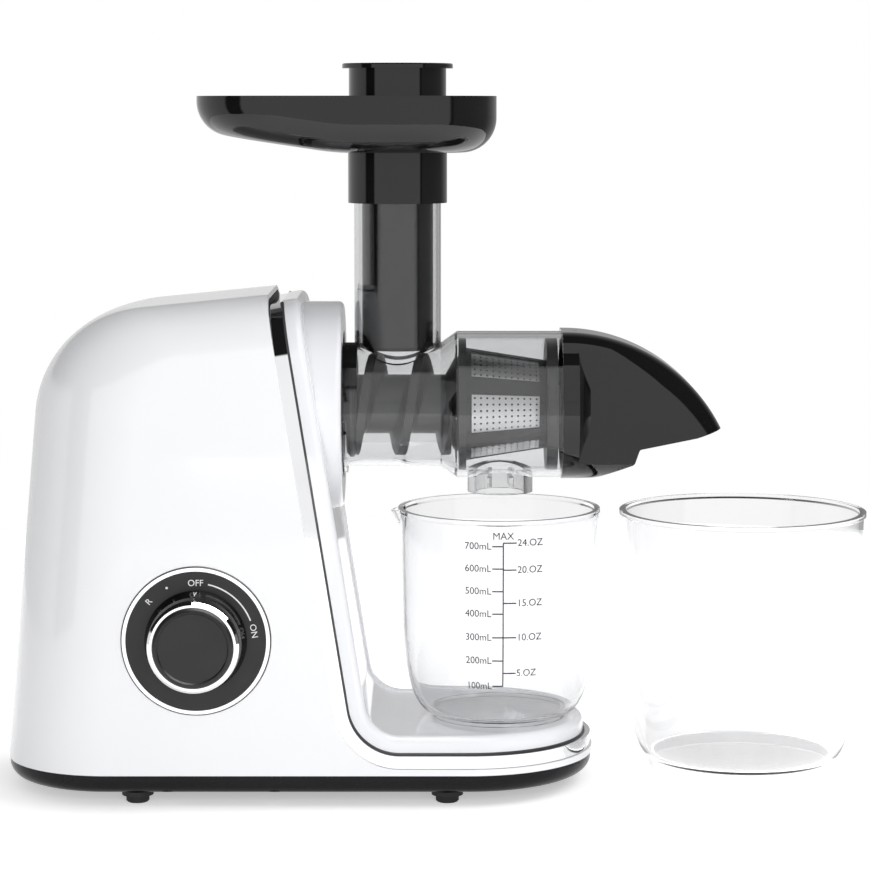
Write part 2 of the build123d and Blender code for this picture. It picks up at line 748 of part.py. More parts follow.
def motor_screws():
    made = []
    for y, z in motor_screw_places():
        head = rod("x", SCREW_HEAD_R - 0.4, CASE_LEFT + CASE_WALL, CASE_LEFT + CASE_WALL + 0.9, y, z)
        made.append(head + rod("x", SCREW_R, MOTOR_RIGHT, CASE_LEFT + CASE_WALL + 0.1, y, z))
    return made


def motor_screw_places():
    y, z = MOTOR_AT
    return [(y + side * 14, z) for side in (-1, 1)]


# ---------------------------------------------------------------- gears
def gear(module, teeth, start, end, bore, centre, tooth_angle):
    """Spur gear along X with a tooth centred on tooth_angle (degrees)."""
    pitch_r = module * teeth / 2
    root_r = pitch_r - 1.2 * module
    tip_r = pitch_r + 0.9 * module
    step = 360.0 / teeth
    points = []
    for i in range(teeth):
        middle = tooth_angle + i * step
        root_half = step * (TOOTH_SHARE / 2 + 0.11)
        tip_half = step * (TOOTH_SHARE / 2 - 0.10)
        flanks = ((root_r, -root_half), (tip_r, -tip_half), (tip_r, tip_half), (root_r, root_half))
        for radius, turn in flanks:
            angle = math.radians(middle + turn)
            points.append((radius * math.cos(angle), radius * math.sin(angle)))
    plane = Plane(origin=(start, centre[0], centre[1]), x_dir=(0, 1, 0), z_dir=(1, 0, 0))
    wheel = extrude(plane * make_face(Polyline(*points, close=True)), end - start)
    return wheel - rod("x", bore, start - 1, end + 1, *centre)


def bearing_angle(start, end):
    """Direction from one axis to the next, in degrees."""
    return math.degrees(math.atan2(end[1] - start[1], end[0] - start[0]))


def mesh_phases(pinion_at, wheel_at):
    """Tooth angles that put a pinion tooth into a gap of the wheel."""
    towards_wheel = bearing_angle(pinion_at, wheel_at)
    wheel_gap = towards_wheel + 180.0
    return towards_wheel, wheel_gap + 180.0 / WHEEL_TEETH


def gear_parts():
    stages = GEAR_STAGES
    axle_bore = AXLE_R + BORE_GAP
    pinion_1, wheel_1 = mesh_phases(MOTOR_AT, FIRST_AT)
    pinion_2, wheel_2 = mesh_phases(FIRST_AT, SECOND_AT)
    pinion_3, wheel_3 = mesh_phases(SECOND_AT, OUTPUT_AT)
    motor_pinion = gear(stages[0][0], PINION_TEETH, stages[0][1], stages[0][2], ROTOR_R, MOTOR_AT, pinion_1)
    first = gear(stages[0][0], WHEEL_TEETH, stages[0][1], stages[0][2], axle_bore, FIRST_AT, wheel_1)
    first = first + gear(
        stages[1][0], PINION_TEETH, stages[0][2], stages[1][2], axle_bore, FIRST_AT, pinion_2
    )
    second = gear(stages[1][0], WHEEL_TEETH, stages[1][1], stages[1][2], axle_bore, SECOND_AT, wheel_2)
    second = second + gear(
        stages[2][0], PINION_TEETH, stages[1][2], stages[2][2], axle_bore, SECOND_AT, pinion_3
    )
    output = gear(stages[2][0], WHEEL_TEETH, stages[2][1], stages[2][2], SHAFT_R, OUTPUT_AT, wheel_3)
    return motor_pinion, first, second, output


def train_sizes():
    """Each axis of the train with the outer radius of what turns on it."""
    wheels = [module * (WHEEL_TEETH / 2 + 1) for module, _, _ in reversed(GEAR_STAGES)]
    return list(zip((OUTPUT_AT, SECOND_AT, FIRST_AT, MOTOR_AT), wheels + [17.0]))


def case_outline(grow):
    """Hull around the four axes of the train."""
    circles = [Pos(*centre) * Circle(radius + CASE_ROOM + grow) for centre, radius in train_sizes()]
    edges = [edge for circle in circles for edge in circle.edges()]
    return make_hull(edges)


def case_slab(grow, start, end):
    plane = Plane(origin=(start, 0, 0), x_dir=(0, 1, 0), z_dir=(1, 0, 0))
    return extrude(plane * case_outline(grow), end - start)


def lug_places():
    """Centres of the screw lugs, just outside the case wall."""
    sizes = train_sizes()
    out = CASE_ROOM + CASE_WALL + LUG_R - 2.0
    picks = ((0, 40.0), (0, 140.0), (1, 200.0), (2, -20.0), (3, -90.0))
    made = []
    for axis, angle in picks:
        (y, z), radius = sizes[axis]
        turn = math.radians(angle)
        made.append((y + (radius + out) * math.cos(turn), z + (radius + out) * math.sin(turn)))
    return made


def gearbox_screws():
    made = []
    top = CASE_RIGHT + COVER_T
    for y, z in lug_places():
        head = rod("x", SCREW_HEAD_R, top, top + 1.8, y, z)
        made.append(head + rod("x", SCREW_R, CASE_RIGHT - LUG_LENGTH, top + 0.1, y, z))
    return made


def gearbox_case():
    case = case_slab(CASE_WALL, CASE_LEFT, CASE_RIGHT)
    case = case - case_slab(0.0, CASE_LEFT + CASE_WALL, CASE_RIGHT + 1)
    case = case - motor_rod(8.0, CASE_LEFT - 1, CASE_LEFT + CASE_WALL + 1)
    case = case - rod("x", BEARING_R, CASE_LEFT - 1, CASE_LEFT + CASE_WALL + 1, *OUTPUT_AT)
    for axis in (FIRST_AT, SECOND_AT):
        case = case - rod("x", AXLE_R, CASE_LEFT - 1, CASE_LEFT + CASE_WALL + 1, *axis)
    for y, z in motor_screw_places():
        case = case - rod("x", SCREW_R, CASE_LEFT - 1, CASE_LEFT + CASE_WALL + 1, y, z)
    for y, z in lug_places():
        lug = rod("x", LUG_R, CASE_RIGHT - LUG_LENGTH, CASE_RIGHT, y, z)
        case = case + (lug - case_slab(0.0, CASE_LEFT, CASE_RIGHT + 1))
        case = case - rod("x", SCREW_R, CASE_RIGHT - LUG_LENGTH - 1, CASE_RIGHT + 1, y, z)
    return case


def gearbox_cover():
    cover = case_slab(CASE_WALL, CASE_RIGHT, CASE_RIGHT + COVER_T)
    cover = cover - rod("x", BEARING_R, CASE_RIGHT - 1, CASE_RIGHT + COVER_T + 1, *OUTPUT_AT)
    for axis in (FIRST_AT, SECOND_AT):
        cover = cover - rod("x", AXLE_R, CASE_RIGHT - 1, CASE_RIGHT + COVER_T + 1, *axis)
    floor = HUB_FACE - SOCKET_DEPTH
    for y, z in lug_places():
        cover = cover + rod("x", LUG_R, CASE_RIGHT, CASE_RIGHT + COVER_T, y, z)
        cover = cover - rod("x", SCREW_R, CASE_RIGHT - 1, CASE_RIGHT + COVER_T + 1, y, z)
    for y, z in pillar_places():
        cover = cover + rod("x", 4.0, CASE_RIGHT + COVER_T - 1, floor, y, z)
        cover = cover - rod("x", SCREW_R, floor - 10, floor + 1, y, z)
    return cover


def pillar_places():
    turns = [math.radians(a) for a in (45, 135, 225, 315)]
    return [(PILLAR_AT * math.cos(a), AXIS_Z + PILLAR_AT * math.sin(a)) for a in turns]


def socket_screws():
    floor = HUB_FACE - SOCKET_DEPTH
    made = []
    for y, z in pillar_places():
        head = rod("x", SCREW_HEAD_R, floor + SOCKET_WALL, floor + SOCKET_WALL + 1.8, y, z)
        made.append(head + rod("x", SCREW_R, floor - 9, floor + SOCKET_WALL + 0.1, y, z))
    return made


def gear_axles():
    return [rod("x", AXLE_R, CASE_LEFT, CASE_RIGHT + COVER_T, *axis) for axis in (FIRST_AT, SECOND_AT)]


def output_bearings():
    bore = SHAFT_R + BORE_GAP
    return [
        tube("x", BEARING_R, bore, CASE_LEFT, CASE_LEFT + CASE_WALL, *OUTPUT_AT),
        tube("x", BEARING_R, bore, CASE_RIGHT, CASE_RIGHT + COVER_T, *OUTPUT_AT),
    ]


def output_shaft():
    round_end = HUB_FACE - SOCKET_DEPTH + SOCKET_WALL + 3
    shaft = rod("x", SHAFT_R, CASE_LEFT - 2, round_end, 0, AXIS_Z)
    plane = Plane(origin=(round_end - 0.1, 0, AXIS_Z), x_dir=(0, 1, 0), z_dir=(1, 0, 0))
    hexagon = RegularPolygon(HEX_FLATS / 2, 6, major_radius=False)
    return shaft + extrude(plane * hexagon, HUB_FACE + 10 - round_end)


# ---------------------------------------------------------------- hub socket and lock ring
def drum_socket():
    floor = HUB_FACE - SOCKET_DEPTH
    cup = rod("x", SOCKET_R, floor, HUB_FACE - 0.5, 0, AXIS_Z)
    cup = cup - rod("x", SOCKET_R - SOCKET_WALL, floor + SOCKET_WALL, HUB_FACE, 0, AXIS_Z)
    cup = cup - rod("x", BEARING_R, floor - 1, HUB_FACE, 0, AXIS_Z)
    for y, z in pillar_places():
        cup = cup - rod("x", SCREW_R, floor - 1, HUB_FACE, y, z)
    return cup


def shaft_seal():
    floor = HUB_FACE - SOCKET_DEPTH
    return tube("x", BEARING_R, SHAFT_R + BORE_GAP, floor, floor + SOCKET_WALL, 0, AXIS_Z)


def sector(outer, inner, start, end, x0, x1):
    """Part of a ring about the drive axis; angles from -Y upward, at the dial side."""
    middle = (start + end) / 2
    half = (end - start) / 2
    ring = tube("x", outer, inner, x0, x1, 0, AXIS_Z)
    wedge = make_face(
        Polyline(
            (0, 0),
            (200 * math.cos(math.radians(middle - half)), 200 * math.sin(math.radians(middle - half))),
            (200 * math.cos(math.radians(middle + half)), 200 * math.sin(math.radians(middle + half))),
            close=True,
        )
    )
    plane = Plane(origin=(x0 - 1, 0, AXIS_Z), x_dir=(0, -1, 0), z_dir=(-1, 0, 0))
    return ring & extrude(plane * wedge, -(x1 - x0 + 2))


def drum_lock_ring():
    inner = DRUM_R1 + RUN_GAP
    outer = SOCKET_R - SOCKET_WALL - RUN_GAP
    ring = tube("x", outer, inner, HUB_FACE - DRUM_SPIGOT, HUB_FACE - 1, 0, AXIS_Z)
    neck = sector(outer, inner, LOCK_TAB[0] + 2, LOCK_TAB[1] - 2, HUB_FACE - 1.5, HUB_FACE + 1.0)
    tab = sector(outer + 1.2, inner, *LOCK_TAB, HUB_FACE + 0.5, HUB_FACE + 8.0)
    return ring + neck + tab


# ---------------------------------------------------------------- drum
def at_hub(points):
    return [(HUB_FACE + a, r) for a, r in points]


def juicing_drum():
    cone_a, cone_b = DRUM_CONE
    neck_r = DRUM_R2 - 1.9
    outer = turned(
        "x",
        at_hub(
            [
                (-DRUM_SPIGOT, 0),
                (-DRUM_SPIGOT, DRUM_R1),
                (cone_a, DRUM_R1),
                (cone_b, DRUM_R2),
                (DRUM_SEAM, DRUM_R2),
                (DRUM_SEAM, neck_r),
                (DRUM_SEAM + DRUM_NECK, neck_r),
                (DRUM_SEAM + DRUM_NECK, 0),
            ]
        ),
        0,
        AXIS_Z,
    )
    lip = sector(DRUM_R1 + 4, DRUM_R1 - 1, -160, -20, HUB_FACE + 0.5, HUB_FACE + 2.2)
    x = HUB_FACE + CHUTE_AT
    chute = rod("z", CHUTE_R, AXIS_Z, CHUTE_TOP, x, 0)
    spout_x = HUB_FACE + SPOUT_AT
    spout = rod("z", SPOUT_R, SPOUT_END, AXIS_Z - 20, spout_x, 0)
    body = outer + lip + chute + spout
    inner = turned(
        "x",
        at_hub(
            [
                (-DRUM_SPIGOT + DRUM_WALL, 0),
                (-DRUM_SPIGOT + DRUM_WALL, DRUM_R1 - DRUM_WALL),
                (cone_a, DRUM_R1 - DRUM_WALL),
                (cone_b, DRUM_R2 - DRUM_WALL - 0.6),
                (DRUM_SEAM + DRUM_NECK + 1, DRUM_R2 - DRUM_WALL - 0.6),
                (DRUM_SEAM + DRUM_NECK + 1, 0),
            ]
        ),
        0,
        AXIS_Z,
    )
    body = body - inner
    body = body - rod("z", CHUTE_R - CHUTE_WALL, AXIS_Z, CHUTE_TOP + 1, x, 0)
    body = body - rod("z", SPOUT_BORE, SPOUT_END - 1, AXIS_Z - 20, spout_x, 0)
    for side in (-1, 1):
        rib_x = spout_x + side * RIB_AT
        x0, x1 = rib_x - RIB_W / 2, rib_x + RIB_W / 2
        rib = block(x0, x1, -SPOUT_BORE, SPOUT_BORE, SPOUT_END + RIB_RISE, SPOUT_END + RIB_RISE + RIB_H)
        body = body + (rib & rod("z", SPOUT_BORE + 0.5, SPOUT_END, AXIS_Z, spout_x, 0))
    return body - rod("x", AUGER_HUB_R + 3, HUB_FACE - 20, HUB_FACE, 0, AXIS_Z)


def drum_seal():
    start = HUB_FACE - DRUM_SPIGOT
    return tube("x", AUGER_HUB_R + 3, AUGER_HUB_R + 0.2, start, start + DRUM_WALL, 0, AXIS_Z)


# ---------------------------------------------------------------- auger
def strainer_r(a):
    """Outer radius of the strainer's cone, a to the right of the hub face."""
    slope = (STRAINER_R2 - STRAINER_R1) / (FLANGE_FROM - WINDOW_FROM)
    return STRAINER_R1 + (a - WINDOW_FROM) * slope


def auger_r(a):
    return strainer_r(a) - STRAINER_WALL - 0.5


def auger():
    d0, d1 = AUGER_DISC
    hub = turned(
        "x",
        at_hub(
            [
                (-DRUM_SPIGOT - 3, 0),
                (-DRUM_SPIGOT - 3, AUGER_HUB_R),
                (d0, AUGER_HUB_R),
                (d0, AUGER_DISC_R - 2),
                (d0 + 2, AUGER_DISC_R),
                (d1 - 2, AUGER_DISC_R),
                (d1, AUGER_DISC_R - 2),
                (d1, 0),
            ]
        ),
        0,
        AXIS_Z,
    )
    cone = turned(
        "x",
        at_hub(
            [
                (STRAINER_FROM - 6, 0),
                (STRAINER_FROM - 6, AUGER_CORE_R),
                (STRAINER_FROM + 1, auger_r(STRAINER_FROM + 1)),
                (FLANGE_FROM, auger_r(FLANGE_FROM)),
                (FLANGE_TO, auger_r(FLANGE_TO) - 3),
                (FLANGE_TO + 2, 9.0),
                (FLANGE_TO + 3, 0),
            ]
        ),
        0,
        AXIS_Z,
    )
    screw_part = flights(HUB_FACE + d1 - 0.2, HUB_FACE + STRAINER_FROM - 3)
    body = hub + screw_part + cone
    return body - rod("x", SOCKET_INSERT_R, HUB_FACE - DRUM_SPIGOT - 4, HUB_FACE + 14, 0, AXIS_Z)


def flights(start, end):
    """Core with one thick left-hand thread: a cam outline, turned as it is drawn out."""
    half_root = math.radians(FLIGHT_ROOT / 2)
    half_tip = math.radians(FLIGHT_TIP / 2)

    def spot(radius, angle):
        return (radius * math.cos(angle), radius * math.sin(angle))

    tip = ThreePointArc(spot(AUGER_R, -half_tip), spot(AUGER_R, 0), spot(AUGER_R, half_tip))
    rise = Line(spot(AUGER_R, half_tip), spot(AUGER_CORE_R, half_root))
    core = ThreePointArc(
        spot(AUGER_CORE_R, half_root), spot(AUGER_CORE_R, math.pi), spot(AUGER_CORE_R, -half_root)
    )
    fall = Line(spot(AUGER_CORE_R, -half_root), spot(AUGER_R, -half_tip))
    cam = make_face([tip, rise, core, fall])
    turn = -360.0 * (end - start) / FLIGHT_PITCH
    upright = Solid.extrude_linear_with_rotation(cam.faces()[0], (0, 0, 0), (0, 0, end - start), turn)
    # the crest points straight down at FLIGHT_DOWN_AT
    to_down = math.radians(360.0 * (HUB_FACE + FLIGHT_DOWN_AT - start) / FLIGHT_PITCH)
    first = (0, math.sin(to_down), -math.cos(to_down))
    frame = Plane(origin=(start, 0, AXIS_Z), x_dir=first, z_dir=(1, 0, 0))
    return frame.location * upright


def auger_drive_socket():
    start = HUB_FACE - DRUM_SPIGOT - 3
    end = HUB_FACE + 13
    insert = rod("x", SOCKET_INSERT_R, start, end, 0, AXIS_Z)
    plane = Plane(origin=(start - 1, 0, AXIS_Z), x_dir=(0, 1, 0), z_dir=(1, 0, 0))
    hexagon = RegularPolygon(HEX_FLATS / 2 + BORE_GAP, 6, major_radius=False)
    return insert - extrude(plane * hexagon, end - start - 1)


# ---------------------------------------------------------------- strainer
def strainer_cone(outer_less, inner_less, start, end):
    return turned(
        "x",
        at_hub(
            [
                (start, strainer_r(start) - outer_less),
                (end, strainer_r(end) - outer_less),
                (end, strainer_r(end) - inner_less),
                (start, strainer_r(start) - inner_less),
            ]
        ),
        0,
        AXIS_Z,
    )


def window_angle(i):
    return WINDOW_FIRST + i * 360.0 / WINDOWS


def strainer_window(i, start, end):
    half = WINDOW_SPAN / 2
    angle = window_angle(i)
    return sector(60.0, 5.0, angle - half, angle + half, HUB_FACE + start, HUB_FACE + end)


def strainer_frame():
    cone = strainer_cone(0.0, STRAINER_WALL, STRAINER_FROM + 3, FLANGE_FROM + 1)
    collar_r = DRUM_R2 - DRUM_WALL - 0.6 - RUN_GAP
    collar = tube(
        "x", collar_r, strainer_r(STRAINER_FROM + 3) - STRAINER_WALL + 0.6, HUB_FACE + STRAINER_FROM,
        HUB_FACE + STRAINER_FROM + 4, 0, AXIS_Z
    )
    flange = tube(
        "x", collar_r, strainer_r(FLANGE_FROM) - STRAINER_WALL, HUB_FACE + FLANGE_FROM, HUB_FACE + FLANGE_TO,
        0, AXIS_Z
    )
    frame = cone + collar + flange
    for i in range(WINDOWS):
        frame = frame - strainer_window(i, WINDOW_FROM, WINDOW_TO)
    return frame


def strainer_mesh():
    plate = strainer_cone(0.8, 1.4, WINDOW_FROM, WINDOW_TO)
    return [plate & strainer_window(i, WINDOW_FROM, WINDOW_TO) for i in range(WINDOWS)]


# ---------------------------------------------------------------- pulp nozzle
def nozzle_side(inset):
    """Side outline of the beak: one long arc above, a stepped underside."""
    x = NOZZLE_X
    start = x - (1 if inset else 0)
    far = x + NOZZLE_LENGTH + 10
    top = AXIS_Z + NOZZLE_R - inset
    low = AXIS_Z - NOZZLE_R + inset
    outlet, chin, throat = NOZZLE_UNDER
    belly, belly_r = NOZZLE_BELLY
    points = [
        (start, top),
        (far, top),
        (far, AXIS_Z - NOZZLE_TIP_DROP + inset),
        (x + outlet[0], AXIS_Z + outlet[1] + inset),
        (x + chin[0] - inset, AXIS_Z + chin[1] + inset),
        (x + throat[0] - inset, AXIS_Z + throat[1] + inset),
        (x + belly, low),
        (start, low),
    ]
    under = side_face(points, [0, 0, 0, *NOZZLE_UNDER_R, belly_r, 0])
    disc = Pos(x + 2.0, 0, AXIS_Z + NOZZLE_R - NOZZLE_ARC_R) * (Plane.XZ * Circle(NOZZLE_ARC_R - inset))
    left = Pos(x - 24.0, 0, AXIS_Z) * (Plane.XZ * Rectangle(52.0, 2 * NOZZLE_R + 10))
    return under & (disc + left)


def nozzle_beak(inset):
    """The beak: rounded crests above, the ring's curve below."""
    half = NOZZLE_HALF - inset
    beak = extrude(nozzle_side(inset), half, both=True)
    crest = [e for e in beak.edges() if abs(abs(e.center().Y) - half) < 0.01 and e.center().Z > AXIS_Z + 5]
    beak = fillet(crest, NOZZLE_CREST_R - inset)
    end = NOZZLE_X + NOZZLE_LENGTH + 5
    below = rod("x", NOZZLE_R - inset, NOZZLE_X - 5, end, 0, AXIS_Z)
    above = block(NOZZLE_X - 5, end, -NOZZLE_R, NOZZLE_R, AXIS_Z, AXIS_Z + NOZZLE_R)
    return beak & (below + above)


def nozzle_shoulder():
    """The ring, whose end is turned down in a hollow curve to the beak's width."""
    x0 = NOZZLE_X
    x1 = x0 + NOZZLE_RING
    x2 = x1 + SHOULDER_LENGTH
    hip = NOZZLE_HALF + SHOULDER_HIP
    left, down = SHOULDER_HOLLOW
    line = Polyline((x2, 0, AXIS_Z + hip), (x2, 0, AXIS_Z), (x0, 0, AXIS_Z), (x0, 0, AXIS_Z + NOZZLE_R))
    line = line + Line((x0, 0, AXIS_Z + NOZZLE_R), (x1, 0, AXIS_Z + NOZZLE_R))
    hollow = ThreePointArc(
        (x1, 0, AXIS_Z + NOZZLE_R),
        ((x1 + x2) / 2 - left, 0, AXIS_Z + (NOZZLE_R + hip) / 2 - down),
        (x2, 0, AXIS_Z + hip),
    )
    return revolve(make_face(line + hollow), Axis((0, 0, AXIS_Z), (1, 0, 0)))


def pulp_nozzle():
    body = nozzle_beak(0.0) + nozzle_shoulder()
    body = body - nozzle_beak(NOZZLE_WALL)
    stop = NOZZLE_X + NOZZLE_RING - NOZZLE_STOP
    body = body - rod("x", NOZZLE_R - NOZZLE_WALL, NOZZLE_X - 1, stop, 0, AXIS_Z)
    x0, x1, half = NOZZLE_OUTLET
    return body - block(NOZZLE_X + x0, NOZZLE_X + x1, -half, half, AXIS_Z - 40, AXIS_Z - 10)


def nozzle_seal():
    start = NOZZLE_X + DRUM_NECK + 0.05
    outer = NOZZLE_R - NOZZLE_WALL
    return tube("x", outer, outer - 3, start, NOZZLE_X + NOZZLE_RING - NOZZLE_STOP, 0, AXIS_Z)


# ---------------------------------------------------------------- feed tray and pusher
def tray_outline(inset):
    centre = TRAY_LEFT + TRAY_LENGTH / 2
    plate = Rectangle(TRAY_LENGTH - 2 * inset, TRAY_WIDTH - 2 * inset)
    return Pos(centre, 0) * fillet(plate.vertices(), TRAY_CORNER_R - inset)


def tray_form(inset, extra):
    """Dish with a rounded bottom edge; its floor rises a little to the motor end."""
    low = TRAY_FLOOR + inset
    left = TRAY_LEFT - 1
    right = TRAY_LEFT + TRAY_LENGTH + 1
    rise = (TRAY_BREAK - left) * math.tan(math.radians(TRAY_FALL))
    top = TRAY_RIM + extra
    points = [(left, top), (left, low + rise), (TRAY_BREAK, low), (right, low), (right, top)]
    bar = extrude(side_face(points, [0, 0, TRAY_BREAK_R, 0, 0]), TRAY_WIDTH, both=True)
    dish = bar & slab(tray_outline(inset), low - 1, top + 1)
    centre = TRAY_LEFT + TRAY_LENGTH / 2
    under = [e for e in dish.edges() if is_tray_edge(e, centre, inset)]
    return fillet(under, TRAY_EDGE_R - inset)


def is_tray_edge(edge, centre, inset):
    """True for the edges between the tray's floor and its wall."""
    middle = edge.position_at(0.5)
    low_enough = middle.Z < TRAY_FLOOR + inset + 14
    across = abs(middle.X - centre) / (TRAY_LENGTH / 2 - inset)
    aside = abs(middle.Y) / (TRAY_WIDTH / 2 - inset)
    level = abs(edge.position_at(0.0).Z - edge.position_at(1.0).Z) < 14
    return low_enough and level and max(across, aside) > 0.8


def feed_tray():
    x = HUB_FACE + CHUTE_AT
    body = tray_form(0.0, 0.0) + rod("z", TRAY_COLLAR_R, TRAY_COLLAR_END, TRAY_FLOOR + 1, x, 0)
    body = body - tray_form(TRAY_WALL, 5.0)
    body = body - rod("z", CHUTE_R - CHUTE_WALL, TRAY_COLLAR_END - 1, TRAY_RIM, x, 0)
    return body - rod("z", CHUTE_R + RUN_GAP, TRAY_COLLAR_END - 1, CHUTE_TOP + 0.3, x, 0)


def pusher():
    floor = TRAY_FLOOR + TRAY_WALL + 0.3
    outline = [
        (PUSHER_TOP, PUSHER_CUP_R - PUSHER_WALL),
        (PUSHER_TOP, PUSHER_FLANGE_R - 0.6),
        (PUSHER_TOP - 0.6, PUSHER_FLANGE_R),
        (PUSHER_TOP - PUSHER_FLANGE_T, PUSHER_FLANGE_R),
        (PUSHER_TOP - PUSHER_FLANGE_T, PUSHER_CUP_R),
        (floor, PUSHER_CUP_R),
        (floor, PUSHER_STEM_R),
        (PUSHER_END + 2, PUSHER_STEM_R),
        (PUSHER_END, PUSHER_STEM_R - 2),
        (PUSHER_END, 0),
        (PUSHER_END + PUSHER_WALL, 0),
        (PUSHER_END + PUSHER_WALL, PUSHER_STEM_R - PUSHER_WALL),
        (floor + PUSHER_WALL, PUSHER_STEM_R - PUSHER_WALL),
        (floor + PUSHER_WALL, PUSHER_CUP_R - PUSHER_WALL),
    ]
    return turned("z", outline, HUB_FACE + CHUTE_AT, 0)


# ---------------------------------------------------------------- jug and cup
def vessel(x, y, floor, foot_r, foot_h, side, rim_r, rim_z, wall, lip):
    """Clear vessel: foot ring, bowl curve, nearly straight wall, small rim.

    side is (radius, height) where the bowl curve meets the wall."""
    bottom = floor + foot_h
    side_r, side_h = side
    side_z = floor + side_h

    def spot(radius, z):
        return (x + radius, y, z)

    def bowl(less):
        start = (side_r - less, side_z)
        end = (foot_r - 0.4 - less * 0.5, bottom + less)
        pull = start[1] - BOWL_PULL * (start[1] - end[1])
        push = end[0] + BOWL_PUSH * (start[0] - end[0])
        return Bezier(spot(*start), spot(start[0] - 0.3, pull), spot(push, end[1]), spot(*end)), start, end

    outer, outer_top, outer_low = bowl(0.0)
    inner, inner_top, inner_low = bowl(wall)
    lines = [
        Line(spot(0, bottom), spot(*outer_low)),
        outer,
        Line(spot(*outer_top), spot(rim_r - lip, rim_z - 3)),
        Line(spot(rim_r - lip, rim_z - 3), spot(rim_r, rim_z - 2)),
        Line(spot(rim_r, rim_z - 2), spot(rim_r, rim_z)),
        Line(spot(rim_r, rim_z), spot(rim_r - lip - wall, rim_z)),
        Line(spot(rim_r - lip - wall, rim_z), spot(*inner_top)),
        inner,
        Line(spot(*inner_low), spot(0, bottom + wall)),
        Line(spot(0, bottom + wall), spot(0, bottom)),
    ]
    shell = revolve(make_face(lines), Axis((x, y, 0), (0, 0, 1)))
    foot = tube("z", foot_r, foot_r - wall, floor, bottom + 0.5, x, y)
    return shell + foot


def platform_z():
    return SHELL_FLOOR + TRIM_THICK + PANEL_THICK - BEAD_HEIGHT


def juice_jug():
    floor = platform_z()
    jug = vessel(JUG_X, 0.0, floor, JUG_FOOT_R, 2.2, (54.3, 60.0), JUG_RIM_R, JUG_RIM_Z, JUG_WALL, 0.8)
    # pouring lip, a hollow half cone that leans out at the motor side
    base = Plane(origin=(JUG_X - JUG_RIM_R + LIP_IN, 0, JUG_RIM_Z), z_dir=(0.18, 0, -1))
    outer = Solid.make_cone(LIP_R, 0.5, LIP_DROP, base)
    inner = Solid.make_cone(LIP_R - 1.8, 0.1, LIP_DROP - 2, base)
    keep = block(JUG_X - 80, JUG_X - JUG_RIM_R + 14, -30, 30, JUG_RIM_Z - 32, JUG_RIM_Z)
    inside = rod("z", JUG_RIM_R - JUG_WALL - 1.4, floor, JUG_RIM_Z + 5, JUG_X, 0)
    return (jug + ((outer - inside) & keep)) - (inner & grown(keep))


def grown(shape):
    """The same block, open above the rim."""
    low = shape.bounding_box().min
    high = shape.bounding_box().max
    return block(low.X, high.X, low.Y, high.Y, low.Z, high.Z + 10)


def pulp_cup():
    return vessel(
        CUP_X, CUP_Y, 0.0, CUP_FOOT_R, CUP_FOOT_H, (67.0, 97.0), CUP_RIM_R, CUP_RIM_Z, CUP_WALL, 1.4
    )


# ---------------------------------------------------------------- inside the body
def motor_cradle():
    z = MOTOR_AT[1]
    floor = FOOT_HEIGHT + BASE_WALL
    ribs = []
    for x in (MOTOR_LEFT + 14, MOTOR_RIGHT - 18):
        ribs.append(block(x, x + 4, -26, 26, floor, z - 12))
    bed = block(MOTOR_LEFT + 14, MOTOR_RIGHT - 14, 19, 26, floor, floor + 3)
    bed = bed + block(MOTOR_LEFT + 14, MOTOR_RIGHT - 14, -26, -19, floor, floor + 3)
    body = bed + ribs[0] + ribs[1]
    return body - motor_rod(MOTOR_R + PAD_T, MOTOR_LEFT, MOTOR_RIGHT)


def motor_mount_pads():
    """Rubber strips between the cradle and the can."""
    z = MOTOR_AT[1]
    made = []
    for x in (MOTOR_LEFT + 14, MOTOR_RIGHT - 18):
        ring = motor_tube(MOTOR_R + PAD_T, MOTOR_R, x, x + 4)
        made.append(ring & block(x - 1, x + 5, -26, 26, z - 60, z - 14))
    return made


def circuit_board():
    x0, x1, half = BOARD
    board = block(x0, x1, -half, half, BOARD_Z, BOARD_Z + BOARD_T)
    for x, y in board_posts():
        board = board - rod("z", BOARD_SCREW_R, BOARD_Z - 1, BOARD_Z + 5, x, y)
    return board


def board_posts():
    x0, x1, half = BOARD
    return [(x, side * (half - 5)) for x in (x0 + 5, x1 - 5) for side in (-1, 1)]


def board_screws():
    top = BOARD_Z + BOARD_T
    made = []
    for x, y in board_posts():
        head = rod("z", SCREW_HEAD_R - 0.4, top, top + 1.5, x, y)
        made.append(head + rod("z", BOARD_SCREW_R, top - BOARD_SCREW_LENGTH, top + 0.1, x, y))
    return made


def board_parts():
    """Suppressor capacitor, bridge rectifier and terminal block."""
    x0 = BOARD[0]
    top = BOARD_Z + BOARD_T
    return [
        block(x0 + 8, x0 + 26, -20, -10, top, top + 14),
        block(x0 + 8, x0 + 24, -2, 3, top, top + 15),
        block(x0 + 10, x0 + 34, 10, 20, top, top + 11),
    ]


def cord_gland():
    """Short grommet in the back wall, where the mains lead goes in."""
    y = BODY_HALF_DEPTH
    flange = rod("y", GLAND_R + 3, y, y + 2.5, GLAND_X, GLAND_Z)
    plane = Plane(origin=(GLAND_X, y + 2.4, GLAND_Z), z_dir=(0, 1, 0))
    sleeve = Solid.make_cone(GLAND_R, GLAND_R - 1.8, GLAND_LENGTH, plane)
    neck = rod("y", GLAND_R, y - SHELL_WALL, y + 0.1, GLAND_X, GLAND_Z)
    nut = rod("y", GLAND_R + 2, y - SHELL_WALL - 2, y - SHELL_WALL, GLAND_X, GLAND_Z)
    body = flange + sleeve + neck + nut
    return body - rod("y", 3.4, y - 20, y + GLAND_LENGTH + 5, GLAND_X, GLAND_Z)


